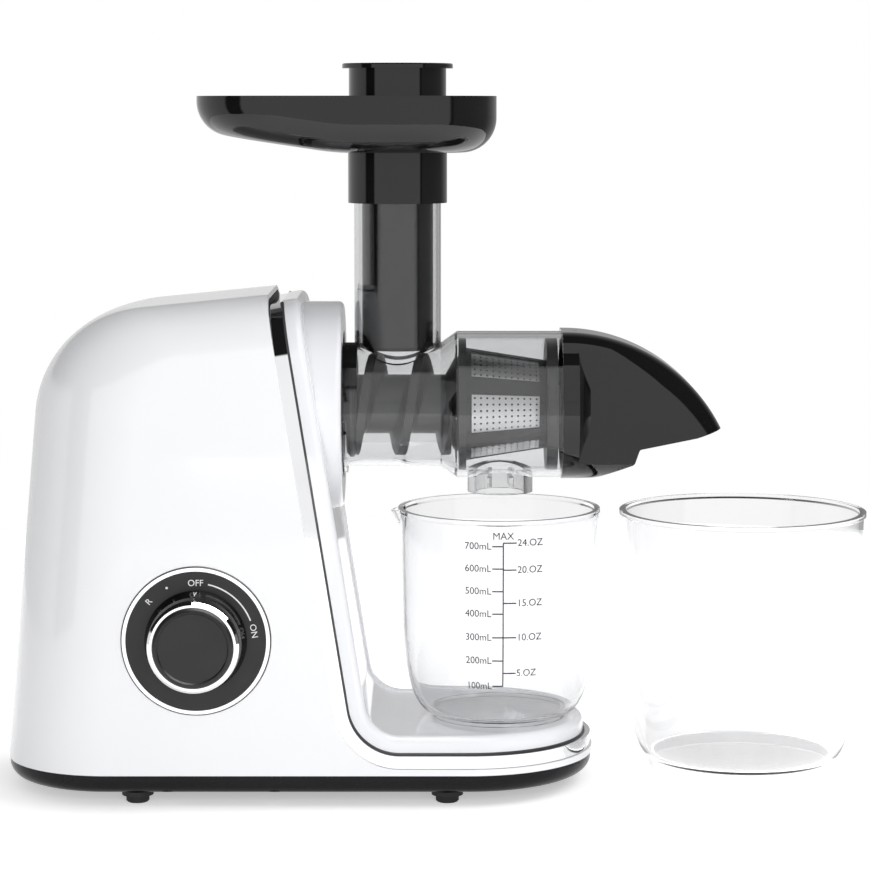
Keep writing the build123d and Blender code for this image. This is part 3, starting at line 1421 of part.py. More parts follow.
# ---------------------------------------------------------------- write the nodes
def write_all():
    os.makedirs("parts", exist_ok=True)
    holders, carbons = brushes()
    shaft, commutator, core, windings, fan = rotor_parts()
    motor_pinion, first, second, output = gear_parts()
    save("main_housing", main_housing())
    save("chrome_trim", chrome_trim())
    panel = front_panel()
    save("front_panel", panel)
    save("hub_collar", hub_collar(panel))
    save("drum_socket", drum_socket())
    save("socket_screws", *socket_screws())
    save("shaft_seal", shaft_seal())
    save("base_plate", base_plate())
    save("rubber_feet", *feet())
    save("foot_screws", *[screw(x, y, 4.4, BASE_TOP - 3) for x, y in foot_places()])
    save("base_screws", *base_screws())
    save("cord_gland", cord_gland())
    save("dial_bezel", dial_bezel())
    save("dial_plate", dial_plate())
    save("rotary_switch", rotary_switch())
    save("switch_nut", switch_nut())
    save("knob_skirt", knob_skirt())
    save("knob_ring", knob_ring())
    save("knob_cap", knob_cap())
    save("switch_spindle", switch_spindle())
    save("motor_can", motor_can())
    save("motor_magnets", *motor_magnets())
    save("motor_front_cap", motor_front_cap())
    save("motor_rear_cap", motor_rear_cap())
    save("motor_bearings", *motor_bearings())
    save("brush_holders", *holders)
    save("carbon_brushes", *carbons)
    save("motor_screws", *motor_screws())
    save("motor_cradle", motor_cradle())
    save("motor_mount_pads", *motor_mount_pads())
    save("rotor_shaft", shaft + motor_pinion)
    save("armature_core", core)
    save("armature_windings", *windings)
    save("commutator", commutator)
    save("cooling_fan", fan)
    save("gearbox_case", gearbox_case())
    save("gearbox_cover", gearbox_cover())
    save("gearbox_screws", *gearbox_screws())
    save("gear_axles", *gear_axles())
    save("output_bearings", *output_bearings())
    save("first_gear", first)
    save("second_gear", second)
    save("output_gear", output)
    save("output_shaft", output_shaft())
    save("circuit_board", circuit_board())
    save("board_screws", *board_screws())
    save("board_parts", *board_parts())
    save("drum_lock_ring", drum_lock_ring())
    save("juicing_drum", juicing_drum())
    save("drum_seal", drum_seal())
    save("auger", auger())
    save("auger_drive_socket", auger_drive_socket())
    save("strainer", strainer_frame())
    save("strainer_mesh", *strainer_mesh())
    save("pulp_nozzle", pulp_nozzle())
    save("nozzle_seal", nozzle_seal())
    save("feed_tray", feed_tray())
    save("pusher", pusher())
    save("juice_jug", juice_jug())
    save("pulp_cup", pulp_cup())


write_all()
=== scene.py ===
"""Looks of the cold press juicer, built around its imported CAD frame. Units: metres."""

import math

import bmesh
import bpy
from mathutils import Matrix, Vector
from mathutils.bvhtree import BVHTree


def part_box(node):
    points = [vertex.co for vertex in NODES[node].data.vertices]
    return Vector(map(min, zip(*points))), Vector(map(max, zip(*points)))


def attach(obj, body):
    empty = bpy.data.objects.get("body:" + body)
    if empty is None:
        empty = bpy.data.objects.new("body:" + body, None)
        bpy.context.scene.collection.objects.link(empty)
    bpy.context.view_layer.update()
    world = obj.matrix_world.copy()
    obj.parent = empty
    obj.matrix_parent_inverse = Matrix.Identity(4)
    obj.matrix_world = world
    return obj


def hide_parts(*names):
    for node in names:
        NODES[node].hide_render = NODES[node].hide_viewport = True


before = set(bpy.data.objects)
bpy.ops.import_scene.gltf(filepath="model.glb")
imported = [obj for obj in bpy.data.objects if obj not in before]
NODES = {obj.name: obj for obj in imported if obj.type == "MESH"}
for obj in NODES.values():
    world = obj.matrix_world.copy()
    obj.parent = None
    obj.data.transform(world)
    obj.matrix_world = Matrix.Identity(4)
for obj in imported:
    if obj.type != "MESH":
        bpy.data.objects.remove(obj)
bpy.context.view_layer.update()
MM = 0.001
INWARD = Vector((0.0, 1.0, 0.0))  # from the dial side into the machine


# ---------------------------------------------------------------- places read off the frame
def middle(node):
    low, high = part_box(node)
    return (low + high) / 2


def surface(node):
    """Search tree of a CAD node's faces."""
    return BVHTree.FromObject(NODES[node], bpy.context.evaluated_depsgraph_get())


DIAL = middle("dial_bezel")
DIAL_FACE_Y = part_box("dial_plate")[0].y
SKIRT_FRONT_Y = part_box("knob_skirt")[0].y
BEZEL_LOW, BEZEL_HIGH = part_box("dial_bezel")
AXIS = middle("strainer")
MESH_LOW, MESH_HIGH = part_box("strainer_mesh")
JUG_LOW, JUG_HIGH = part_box("juice_jug")

# ---------------------------------------------------------------- camera
SENSOR_WIDTH = 36.0
LENS = 115.8
SHIFT_UP = -0.14
CAMERA_AT = Vector((-0.0032, -1.5560, 0.3763))
PITCH = math.radians(4.19)
CLIP_NEAR, CLIP_FAR = 0.05, 30.0


def make_camera():
    """Camera at the photograph's viewing angle."""
    data = bpy.data.cameras.new("camera")
    data.sensor_width = SENSOR_WIDTH
    data.lens = LENS
    data.shift_y = SHIFT_UP
    data.clip_start = CLIP_NEAR
    data.clip_end = CLIP_FAR
    camera = bpy.data.objects.new("camera", data)
    camera.location = CAMERA_AT
    camera.rotation_euler = (math.pi / 2 - PITCH, 0.0, 0.0)
    bpy.context.scene.collection.objects.link(camera)
    bpy.context.scene.camera = camera


make_camera()

# ---------------------------------------------------------------- material kit
SOCKETS = {
    "metal": "Metallic", "rough": "Roughness", "ior": "IOR", "clear": "Transmission Weight",
    "coat": "Coat Weight", "coat_rough": "Coat Roughness", "specular": "Specular IOR Level",
}
MIX_FACTOR, MIX_A, MIX_B, MIX_RESULT = 0, 6, 7, 2  # colour sockets of the Mix node
WIDE_SPAN = (0.3, 0.7)  # the part of a noise that is stretched to the full range
NARROW_SPAN = (0.35, 0.65)
PEEL_DEPTH = 0.2 * MM
GRAIN_DEPTH = 0.05 * MM
RIPPLE_DEPTH = 0.4 * MM
GLOSS_PER_DRIFT = 5.0  # the gloss changes over shorter distances than the colour
METAL_DRIFT = 30.0
CLEAR_DRIFT, CLEAR_GLOSS, CLEAR_RIPPLE = 9.0, 60.0, 45.0
RIPPLE_STRENGTH = 0.02
TINT_CHANGE = 0.985


class Shader:
    """A Principled material with helpers for its procedural detail."""

    def __init__(self, name):
        self.material = bpy.data.materials.new(name)
        self.material.use_nodes = True
        self.tree = self.material.node_tree
        self.tree.nodes.clear()
        self.out = self.node("ShaderNodeOutputMaterial")
        self.bsdf = self.node("ShaderNodeBsdfPrincipled")
        self.link(self.bsdf.outputs[0], self.out.inputs["Surface"])
        self.coords = self.node("ShaderNodeTexCoord").outputs["Object"]

    def node(self, kind, **values):
        made = self.tree.nodes.new(kind)
        for key, value in values.items():
            setattr(made, key, value)
        return made

    def link(self, source, target):
        self.tree.links.new(source, target)

    def set(self, **values):
        for key, value in values.items():
            self.bsdf.inputs[SOCKETS[key]].default_value = value
        return self

    def stretched(self, scale):
        mapping = self.node("ShaderNodeMapping")
        mapping.inputs["Scale"].default_value = scale
        self.link(self.coords, mapping.inputs["Vector"])
        return mapping.outputs["Vector"]

    def noise(self, scale, detail=3.0, vector=None):
        made = self.node("ShaderNodeTexNoise")
        made.inputs["Scale"].default_value = scale
        made.inputs["Detail"].default_value = detail
        self.link(vector or self.coords, made.inputs["Vector"])
        return made.outputs["Fac"]

    def ranged(self, value, span, low, high):
        made = self.node("ShaderNodeMapRange")
        made.inputs["From Min"].default_value = span[0]
        made.inputs["From Max"].default_value = span[1]
        made.inputs["To Min"].default_value = low
        made.inputs["To Max"].default_value = high
        self.link(value, made.inputs["Value"])
        return made.outputs["Result"]

    def colour(self, first, second, value, span):
        made = self.node("ShaderNodeMix", data_type="RGBA")
        made.inputs[MIX_A].default_value = (*first, 1.0)
        made.inputs[MIX_B].default_value = (*second, 1.0)
        self.link(self.ranged(value, span, 0.0, 1.0), made.inputs[MIX_FACTOR])
        self.link(made.outputs[MIX_RESULT], self.bsdf.inputs["Base Color"])

    def roughness(self, value, low, high):
        self.link(self.ranged(value, WIDE_SPAN, low, high), self.bsdf.inputs["Roughness"])

    def bump(self, height, strength, distance):
        made = self.node("ShaderNodeBump")
        made.inputs["Strength"].default_value = strength
        made.inputs["Distance"].default_value = distance
        self.link(height, made.inputs["Height"])
        self.link(made.outputs[0], self.bsdf.inputs["Normal"])


def moulded(name, base, other, rough, grain=900.0, strength=0.05, drift=14.0, **more):
    """Moulded plastic: slow colour drift, fine orange peel, uneven gloss if rough is a pair."""
    made = Shader(name).set(**more)
    made.colour(base, other, made.noise(drift), WIDE_SPAN)
    if isinstance(rough, tuple):
        made.roughness(made.noise(GLOSS_PER_DRIFT * drift, detail=4.0), *rough)
    else:
        made.set(rough=rough)
    made.bump(made.noise(grain, detail=2.0), strength, PEEL_DEPTH)
    return made.material


def metal(name, base, other, rough, stretch=(1.0, 1.0, 1.0), grain=900.0, strength=0.05):
    """Metal with a grain that is drawn out along one direction."""
    made = Shader(name).set(metal=1.0)
    drawn = made.noise(grain, vector=made.stretched(stretch))
    made.colour(base, other, made.noise(METAL_DRIFT), NARROW_SPAN)
    made.roughness(drawn, *rough)
    made.bump(drawn, strength, GRAIN_DEPTH)
    return made.material


def clear_plastic(name, tint, rough, ior):
    """Clear moulded plastic with a faint flow ripple."""
    made = Shader(name).set(clear=1.0, ior=ior)
    other = tuple(TINT_CHANGE * c for c in tint)
    made.colour(tint, other, made.noise(CLEAR_DRIFT), WIDE_SPAN)
    made.roughness(made.noise(CLEAR_GLOSS), *rough)
    made.bump(made.noise(CLEAR_RIPPLE, detail=1.0), RIPPLE_STRENGTH, RIPPLE_DEPTH)
    return made.material


# ---------------------------------------------------------------- materials
WHITE = moulded(
    "white_gloss", (0.875, 0.88, 0.89), (0.874, 0.879, 0.889), 0.28,
    drift=5.0, strength=0.02, coat=1.0, coat_rough=0.03,
)
PEARL = moulded(
    "white_panel", (0.85, 0.855, 0.875), (0.849, 0.854, 0.874), 0.30,
    drift=5.0, strength=0.02, coat=1.0, coat_rough=0.05,
)
CHROME = metal(
    "chrome_trim", (0.88, 0.885, 0.9), (0.85, 0.855, 0.87), (0.03, 0.07),
    grain=1500.0, strength=0.01,
)
BLACK = moulded(
    "black_gloss", (0.008, 0.008, 0.0085), (0.006, 0.006, 0.0065), (0.03, 0.07), strength=0.02
)
SKIRT = metal(
    "dark_chrome", (0.10, 0.101, 0.103), (0.09, 0.091, 0.093), (0.14, 0.20),
    grain=1500.0, strength=0.01,
)
BASE_BLACK = moulded(
    "black_base", (0.009, 0.009, 0.010), (0.007, 0.007, 0.0078), (0.18, 0.28),
    strength=0.06, specular=0.16,
)
MATTE = moulded(
    "black_matte", (0.035, 0.035, 0.037), (0.026, 0.026, 0.028), (0.55, 0.75),
    grain=2200.0, strength=0.3,
)
PLATE = moulded(
    "dark_plate", (0.014, 0.014, 0.015), (0.012, 0.012, 0.013), (0.3, 0.4),
    grain=3000.0, strength=0.1, specular=0.42,
)
AUGER = moulded(
    "dark_auger", (0.040, 0.040, 0.041), (0.034, 0.034, 0.035), (0.32, 0.45),
    grain=1500.0, strength=0.1,
)
RUBBER = moulded(
    "rubber", (0.016, 0.016, 0.016), (0.011, 0.011, 0.011), (0.55, 0.75),
    grain=1800.0, strength=0.4,
)
# Black of the seam beads, which paint shade and dark reflection along the seams.
SEAM_SHADE = moulded(
    "seam_shade_black", (0.05, 0.05, 0.052), (0.04, 0.04, 0.042), (0.35, 0.5),
    grain=1800.0, strength=0.2,
)
SILICONE = moulded(
    "silicone", (0.62, 0.63, 0.64), (0.56, 0.57, 0.58), (0.5, 0.65), grain=1200.0, strength=0.2
)
NYLON = moulded(
    "gear_nylon", (0.74, 0.72, 0.65), (0.68, 0.66, 0.58), (0.4, 0.55), grain=1400.0, strength=0.15
)
CASE = moulded(
    "case_nylon", (0.06, 0.065, 0.075), (0.045, 0.05, 0.058), (0.5, 0.65),
    grain=1600.0, strength=0.3,
)
BOARD = moulded(
    "board_green", (0.02, 0.13, 0.05), (0.015, 0.10, 0.04), (0.3, 0.42), grain=700.0, strength=0.1
)
CARBON = moulded(
    "carbon", (0.03, 0.03, 0.032), (0.018, 0.018, 0.02), (0.6, 0.8), grain=2600.0, strength=0.4
)
STEEL = metal(
    "steel", (0.60, 0.61, 0.62), (0.52, 0.53, 0.54), (0.22, 0.38),
    stretch=(1.0, 12.0, 12.0), grain=500.0, strength=0.1,
)
SCREEN = metal(
    "screen_steel", (0.86, 0.865, 0.87), (0.80, 0.805, 0.81), (0.3, 0.42),
    stretch=(14.0, 1.0, 1.0), grain=300.0, strength=0.05,
)
IRON = metal(
    "laminated_iron", (0.30, 0.30, 0.31), (0.22, 0.22, 0.23), (0.35, 0.55),
    stretch=(40.0, 1.0, 1.0), grain=200.0, strength=0.3,
)
MAGNET = moulded(
    "magnet", (0.07, 0.07, 0.075), (0.05, 0.05, 0.055), (0.5, 0.7), grain=2000.0, strength=0.4
)
COPPER = metal(
    "copper_wire", (0.72, 0.32, 0.16), (0.60, 0.24, 0.10), (0.25, 0.4),
    stretch=(1.0, 20.0, 20.0), grain=300.0, strength=0.5,
)
BRONZE = metal("bearing_bronze", (0.62, 0.44, 0.22), (0.52, 0.36, 0.17), (0.3, 0.45))
CLEAR = clear_plastic("clear_drum", (0.80, 0.805, 0.81), (0.015, 0.04), 1.5)
CLEAR_JUG = clear_plastic("clear_jug", (0.93, 0.932, 0.938), (0.01, 0.03), 1.4)
CLEAR_CUP = clear_plastic("clear_cup", (0.94, 0.941, 0.945), (0.01, 0.03), 1.36)
LEGEND = moulded(
    "legend_white", (0.80, 0.80, 0.81), (0.76, 0.76, 0.77), (0.45, 0.6),
    grain=2500.0, strength=0.1,
)
PRINT = moulded(
    "print_black", (0.012, 0.012, 0.013), (0.008, 0.008, 0.009), (0.4, 0.55),
    grain=2500.0, strength=0.1,
)

# CAD nodes that aren't named here are plain steel.
FINISH = {
    "main_housing": WHITE, "front_panel": PEARL, "hub_collar": PEARL,
    "chrome_trim": CHROME, "dial_bezel": CHROME, "knob_ring": CHROME,
    "knob_skirt": SKIRT, "dial_plate": PLATE, "knob_cap": PLATE, "base_plate": BASE_BLACK,
    "feed_tray": BLACK, "pusher": BLACK, "pulp_nozzle": BLACK, "drum_lock_ring": BLACK,
    "auger": AUGER, "strainer": AUGER, "strainer_mesh": SCREEN,
    "juicing_drum": CLEAR, "juice_jug": CLEAR_JUG, "pulp_cup": CLEAR_CUP,
    "rubber_feet": RUBBER, "cord_gland": RUBBER, "shaft_seal": RUBBER,
    "motor_mount_pads": RUBBER, "drum_seal": SILICONE, "nozzle_seal": SILICONE,
    "drum_socket": MATTE, "rotary_switch": MATTE, "brush_holders": MATTE,
    "cooling_fan": MATTE, "board_parts": MATTE, "motor_cradle": CASE,
    "gearbox_case": CASE, "gearbox_cover": CASE, "first_gear": NYLON,
    "second_gear": NYLON, "output_gear": NYLON, "circuit_board": BOARD,
    "armature_core": IRON, "motor_magnets": MAGNET, "armature_windings": COPPER,
    "commutator": COPPER, "motor_bearings": BRONZE, "output_bearings": BRONZE,
    "carbon_brushes": CARBON,
}
SEE_THROUGH = (CLEAR, CLEAR_JUG, CLEAR_CUP)
SHARP_ANGLE = math.radians(30.0)


def finish_nodes():
    """Every CAD node gets its material and smooth faces; clear ones let the lamps through."""
    for name, obj in NODES.items():
        obj.visible_shadow = FINISH.get(name) not in SEE_THROUGH
        obj.data.materials.clear()
        obj.data.materials.append(FINISH.get(name, STEEL))
        obj.data.shade_smooth()
        obj.data.set_sharp_from_angle(angle=SHARP_ANGLE)


finish_nodes()

# ---------------------------------------------------------------- mesh kit
LETTER_STEPS = 4


def piece(name, mesh, material, body):
    """A visible piece that rides on a body of the frame."""
    obj = bpy.data.objects.new(name, mesh)
    bpy.context.scene.collection.objects.link(obj)
    mesh.materials.clear()
    mesh.materials.append(material)
    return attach(obj, body)


def to_mesh(name, made):
    mesh = bpy.data.meshes.new(name)
    made.to_mesh(mesh)
    made.free()
    return mesh


def add(target, source, matrix=None):
    """Adds a bmesh to another, moved by the matrix."""
    if matrix is not None:
        source.transform(matrix)
    mesh = to_mesh("part", source)
    target.from_mesh(mesh)
    bpy.data.meshes.remove(mesh)


def lettering(text, size, depth, align="CENTER"):
    """A text as a bmesh: flat letters in the XY plane, half their depth on each side of it."""
    curve = bpy.data.curves.new("letters", "FONT")
    curve.body = text
    curve.size = size
    curve.extrude = depth / 2
    curve.resolution_u = LETTER_STEPS
    curve.align_x = align
    curve.align_y = "CENTER"
    obj = bpy.data.objects.new("letters", curve)
    bpy.context.scene.collection.objects.link(obj)
    bpy.context.view_layer.update()
    solid = obj.evaluated_get(bpy.context.evaluated_depsgraph_get())
    mesh = bpy.data.meshes.new_from_object(solid)
    made = bmesh.new()
    made.from_mesh(mesh)
    bpy.data.objects.remove(obj)
    bpy.data.curves.remove(curve)
    bpy.data.meshes.remove(mesh)
    return made


def bar(points, width, depth):
    """A flat bar in the XY plane along points, closed all round."""
    made = bmesh.new()
    rows = []
    for i, point in enumerate(points):
        before = points[max(i - 1, 0)]
        after = points[min(i + 1, len(points) - 1)]
        along = (Vector(after) - Vector(before)).normalized()
        side = Vector((-along.y, along.x)) * width / 2
        row = []
        for s, z in ((-1, 0.0), (1, 0.0), (1, depth), (-1, depth)):
            row.append(made.verts.new((point[0] + s * side.x, point[1] + s * side.y, z)))
        rows.append(row)
    for a, b in zip(rows, rows[1:]):
        for i in range(4):
            j = (i + 1) % 4
            made.faces.new((a[i], b[i], b[j], a[j]))
    made.faces.new(rows[0])
    made.faces.new(list(reversed(rows[-1])))
    bmesh.ops.recalc_face_normals(made, faces=made.faces)
    return made


# ---------------------------------------------------------------- dial legends
LEGENDS = (("OFF", 0.0, 31.4), ("R", -49.6, 32.9), ("ON", 80.0, 31.5))  # text, angle, mm out
LEGEND_SIZE = 4.85 * MM
LEGEND_DEPTH = 0.12 * MM
PRINT_GAP = 0.03 * MM
TRACK_R = 31.4 * MM
TRACK_FROM, TRACK_TO = 12.4, 69.3
TRACK_STEPS = 40
TRACK_WIDTH = 0.75 * MM
DOT_ANGLE = -28.2
DOT_OUT = 32.7 * MM
DOT_R = 0.65 * MM
DOT_SEGMENTS = 24
STAND_UP = Matrix(((1, 0, 0, 0), (0, 0, -1, 0), (0, 1, 0, 0), (0, 0, 0, 1)))

POINTER_FOOT = Vector((0.0, 24.7)) * MM
POINTER_FORK = Vector((0.0, 25.9)) * MM
POINTER_WIDTH = 0.5 * MM
ARM_ACROSS, ARM_UP = 0.7, 1.1
ARM_WIDTH = 0.4 * MM
SKIRT_CLEARANCE = 10 * MM  # how far before the skirt the rays start


def on_dial(angle, radius, y):
    """From flat artwork to the dial's face; the angle runs clockwise from the top."""
    turn = math.radians(angle)
    centre = Vector((DIAL.x + radius * math.sin(turn), y, DIAL.z + radius * math.cos(turn)))
    return Matrix.Translation(centre) @ Matrix.Rotation(turn, 4, "Y") @ STAND_UP


def dial_legends():
    """OFF, R and ON, the dot and the curved line of the ON range."""
    made = bmesh.new()
    half_out = DIAL_FACE_Y - LEGEND_DEPTH / 2
    for text, angle, radius in LEGENDS:
        letters = lettering(text, LEGEND_SIZE, LEGEND_DEPTH)
        add(made, letters, on_dial(angle, radius * MM, half_out))
    line = []
    for i in range(TRACK_STEPS + 1):
        turn = math.radians(TRACK_FROM + (TRACK_TO - TRACK_FROM) * i / TRACK_STEPS)
        line.append((TRACK_R * math.sin(turn), TRACK_R * math.cos(turn)))
    add(made, bar(line, TRACK_WIDTH, LEGEND_DEPTH), on_dial(0.0, 0.0, DIAL_FACE_Y))
    dot = bmesh.new()
    bmesh.ops.create_cone(
        dot, cap_ends=True, segments=DOT_SEGMENTS, radius1=DOT_R, radius2=DOT_R, depth=LEGEND_DEPTH
    )
    add(made, dot, on_dial(DOT_ANGLE, DOT_OUT, half_out))
    piece("dial_legends", to_mesh("dial_legends", made), LEGEND, "machine")


def knob_pointer():
    """White pointer printed on the slope of the knob's skirt, at the top when the dial is off."""
    tree = surface("knob_skirt")
    made = bmesh.new()
    add(made, bar([POINTER_FOOT, POINTER_FORK], POINTER_WIDTH, LEGEND_DEPTH))
    for side in (-1, 1):
        tip = POINTER_FORK + Vector((side * ARM_ACROSS, ARM_UP)) * MM
        add(made, bar([POINTER_FORK, tip], ARM_WIDTH, LEGEND_DEPTH))
    for vert in made.verts:
        start = (DIAL.x + vert.co.x, SKIRT_FRONT_Y - SKIRT_CLEARANCE, DIAL.z + vert.co.y)
        hit, normal, _, _ = tree.ray_cast(Vector(start), INWARD)
        vert.co = hit + normal * (PRINT_GAP + vert.co.z)
    piece("knob_pointer", to_mesh("knob_pointer", made), LEGEND, "control_knob")


dial_legends()

# ---------------------------------------------------------------- jug scale
JUG_AXIS_X = 32.6 * MM
JUG_RADIUS = (JUG_HIGH.y - JUG_LOW.y) / 2
JUG_CLEARANCE = 0.2  # how far from the jug's axis the rays start
SCALE_LINE_X = 1.2 * MM
SCALE_STEPS = 24
SCALE_SIZE = 5.5 * MM
PRINT_DEPTH = 0.1 * MM
PRINT_LINE = 0.7 * MM
# Labels with their heights, and across from the line: each tick's points and its text, in mm.
SCALE_LEFT = (
    ("700mL", 139.7), ("600mL", 127.4), ("500mL", 115.0), ("400mL", 102.6), ("300mL", 89.6),
    ("200mL", 76.7), ("100mL", 62.4),
)
SCALE_RIGHT = (
    ("24.OZ", 141.6), ("20.OZ", 126.8), ("15.OZ", 108.5), ("10.OZ", 89.6), ("5.OZ", 69.7),
)
TICK_LEFT, TEXT_LEFT = (-6.2, -3.0, 0.0), -6.6
TICK_RIGHT, TEXT_RIGHT = (0.0, 4.0, 7.4), 7.8
MAX_HEIGHT = 145.2


def printed(made, text, across, height, align):
    """Adds a text of the scale; across is from the scale's line, both in mm."""
    spot = Matrix.Translation((SCALE_LINE_X + across * MM, height * MM, PRINT_DEPTH / 2))
    add(made, lettering(text, SCALE_SIZE, PRINT_DEPTH, align), spot)


def scale_side(made, labels, tick, across, align):
    for text, height in labels:
        points = [(SCALE_LINE_X + reach * MM, height * MM) for reach in tick]
        add(made, bar(points, PRINT_LINE, PRINT_DEPTH))
        printed(made, text, across, height, align)


def on_jug(made):
    """Wraps flat artwork (x across, y up, z outward) onto the jug's wall at the dial side."""
    tree = surface("juice_jug")
    for vert in made.verts:
        angle = vert.co.x / JUG_RADIUS
        out = Vector((math.sin(angle), -math.cos(angle), 0.0))
        start = Vector((JUG_AXIS_X, 0.0, vert.co.y)) + out * JUG_CLEARANCE
        hit = tree.ray_cast(start, -out)[0]
        vert.co = hit + out * (PRINT_GAP + vert.co.z)


def jug_scale():
    """The jug's printed line with its ticks and numbers."""
    made = bmesh.new()
    top, low = SCALE_RIGHT[0][1] * MM, SCALE_LEFT[-1][1] * MM
    heights = [low + (top - low) * i / SCALE_STEPS for i in range(SCALE_STEPS + 1)]
    add(made, bar([(SCALE_LINE_X, z) for z in heights], PRINT_LINE, PRINT_DEPTH))
    scale_side(made, SCALE_LEFT, TICK_LEFT, TEXT_LEFT, "RIGHT")
    scale_side(made, SCALE_RIGHT, TICK_RIGHT, TEXT_RIGHT, "LEFT")
    printed(made, "MAX", 0.0, MAX_HEIGHT, "CENTER")
    on_jug(made)
    piece("jug_scale", to_mesh("jug_scale", made), PRINT, "jug")


# ---------------------------------------------------------------- strainer screens
SCREENS = 6
SCREEN_FIRST = -5.0
SCREEN_SPAN = math.radians(41.0)
SCREEN_LENGTH = MESH_HIGH.x - MESH_LOW.x
SCREEN_THICK = 0.6 * MM
SCREEN_MARGIN = 0.4 * MM
SCREEN_CLEARANCE = 35 * MM  # how far from the axis the rays start
HOLE_R = 0.62 * MM
HOLES_LONG = 11
HOLES_ROUND = 6
HOLE_SIDES = 8
KEY_DIGITS = 7


def screen_radius(tree, x, angle):
    """Distance of the CAD plate's outer face from the axis."""
    centre = Vector((x, AXIS.y, AXIS.z))
    out = Vector((0.0, -math.cos(angle), math.sin(angle)))
    hit = tree.ray_cast(centre + out * SCREEN_CLEARANCE, -out)[0]
    return (hit - centre).length


def holed_sheet(columns, rows, cell_u, cell_v, place):
    """A sheet of cells, each with a round hole; place(u, v, side) gives a point, side 1 is out."""
    made = bmesh.new()
    cache = {}

    def vert(point, side):
        u, v = point
        key = (round(u, KEY_DIGITS), round(v, KEY_DIGITS), side)
        if key not in cache:
            cache[key] = made.verts.new(place(u, v, side))
        return cache[key]

    turns = [math.radians(360.0 / HOLE_SIDES * (k + 0.5)) for k in range(HOLE_SIDES)]
    for i in range(columns):
        for j in range(rows):
            u0, v0 = i * cell_u, j * cell_v
            u1, v1 = u0 + cell_u, v0 + cell_v
            uc, vc = u0 + cell_u / 2, v0 + cell_v / 2
            du, dv = cell_u / 4, cell_v / 4
            outer = [
                (u1, vc + dv), (uc + du, v1), (uc - du, v1), (u0, vc + dv),
                (u0, vc - dv), (uc - du, v0), (uc + du, v0), (u1, vc - dv),
            ]
            corners = {0: (u1, v1), 2: (u0, v1), 4: (u0, v0), 6: (u1, v0)}
            inner = [(uc + HOLE_R * math.cos(t), vc + HOLE_R * math.sin(t)) for t in turns]
            for side in (0, 1):
                for k in range(HOLE_SIDES):
                    n = (k + 1) % HOLE_SIDES
                    loop = [vert(inner[k], side), vert(outer[k], side)]
                    if k in corners:
                        loop.append(vert(corners[k], side))
                    loop += [vert(outer[n], side), vert(inner[n], side)]
                    made.faces.new(loop if side else list(reversed(loop)))
            for k in range(HOLE_SIDES):
                a, b = inner[k], inner[(k + 1) % HOLE_SIDES]
                made.faces.new((vert(a, 0), vert(b, 0), vert(b, 1), vert(a, 1)))
    rim = [e for e in made.edges if len(e.link_faces) == 1]
    bmesh.ops.bridge_loops(made, edges=rim)
    bmesh.ops.recalc_face_normals(made, faces=made.faces)
    return made


def strainer_screen(tree, centre):
    """One perforated sheet on the cone round the axis, its middle at the angle centre."""
    near = screen_radius(tree, MESH_LOW.x + SCREEN_MARGIN, centre)
    far = screen_radius(tree, MESH_HIGH.x - SCREEN_MARGIN, centre)
    mean = (near + far) / 2

    def place(u, v, side):
        radius = near + (far - near) * (u / SCREEN_LENGTH) - (0.0 if side else SCREEN_THICK)
        angle = centre - SCREEN_SPAN / 2 + v / mean
        y, z = AXIS.y - radius * math.cos(angle), AXIS.z + radius * math.sin(angle)
        return Vector((MESH_LOW.x + u, y, z))

    cell_u, cell_v = SCREEN_LENGTH / HOLES_LONG, SCREEN_SPAN * mean / HOLES_ROUND
    return holed_sheet(HOLES_LONG, HOLES_ROUND, cell_u, cell_v, place)


def strainer_screens():
    """Perforated screens in place of the plain CAD plates."""
    tree = surface("strainer_mesh")
    sheets = bmesh.new()
    for s in range(SCREENS):
        add(sheets, strainer_screen(tree, math.radians(SCREEN_FIRST + 360.0 * s / SCREENS)))
    obj = piece("strainer_screens", to_mesh("strainer_screens", sheets), SCREEN, "drum")
    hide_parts("strainer_mesh")


jug_scale()
strainer_screens()
knob_pointer()

# ---------------------------------------------------------------- black beads painting shade and dark reflection in the seams
# Sizes of the black beads that paint the seams' shade and dark reflection.
PANEL_SHADE_R = 1.1 * MM
BEZEL_SHADE_R = 0.8 * MM
BEZEL_SHADE_POINTS = 90
BEZEL_MARGIN = 1 * MM  # the rays meet the housing this far outside the bezel
BEZEL_CLEARANCE = 20 * MM  # how far before the bezel the rays start
BEAD_STEPS = 3
WELD = 0.02 * MM
ON_TRIM = 0.2 * MM
SHARP_CORNER = 1.0


def shade_bead(name, radius, points, closed):
    """A round black bead along points: a painted dark seam line of shade and reflection."""
    curve = bpy.data.curves.new(name, "CURVE")
    curve.dimensions = "3D"
    curve.bevel_depth = radius
    curve.bevel_resolution = BEAD_STEPS
    curve.use_fill_caps = not closed
    spline = curve.splines.new("POLY")
    spline.use_cyclic_u = closed
    spline.points.add(len(points) - 1)
    for point, spot in zip(spline.points, points):
        point.co = (*spot, 1.0)
    curve.materials.append(SEAM_SHADE)
    obj = bpy.data.objects.new(name, curve)
    bpy.context.scene.collection.objects.link(obj)
    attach(obj, "machine")


def seam_edges():
    """Sharp edges of the panel that lie on the trim, as each point's neighbours."""
    trim = surface("chrome_trim")
    mesh = bmesh.new()
    mesh.from_mesh(NODES["front_panel"].data)
    bmesh.ops.remove_doubles(mesh, verts=mesh.verts, dist=WELD)
    near = {}
    for edge in mesh.edges:
        sharp = edge.calc_face_angle(0.0) > SHARP_CORNER
        if sharp and all(trim.find_nearest(v.co)[3] < ON_TRIM for v in edge.verts):
            for a, b in (edge.verts, reversed(edge.verts)):
                near.setdefault(a.co.copy().freeze(), []).append(b.co.copy().freeze())
    mesh.free()
    return near


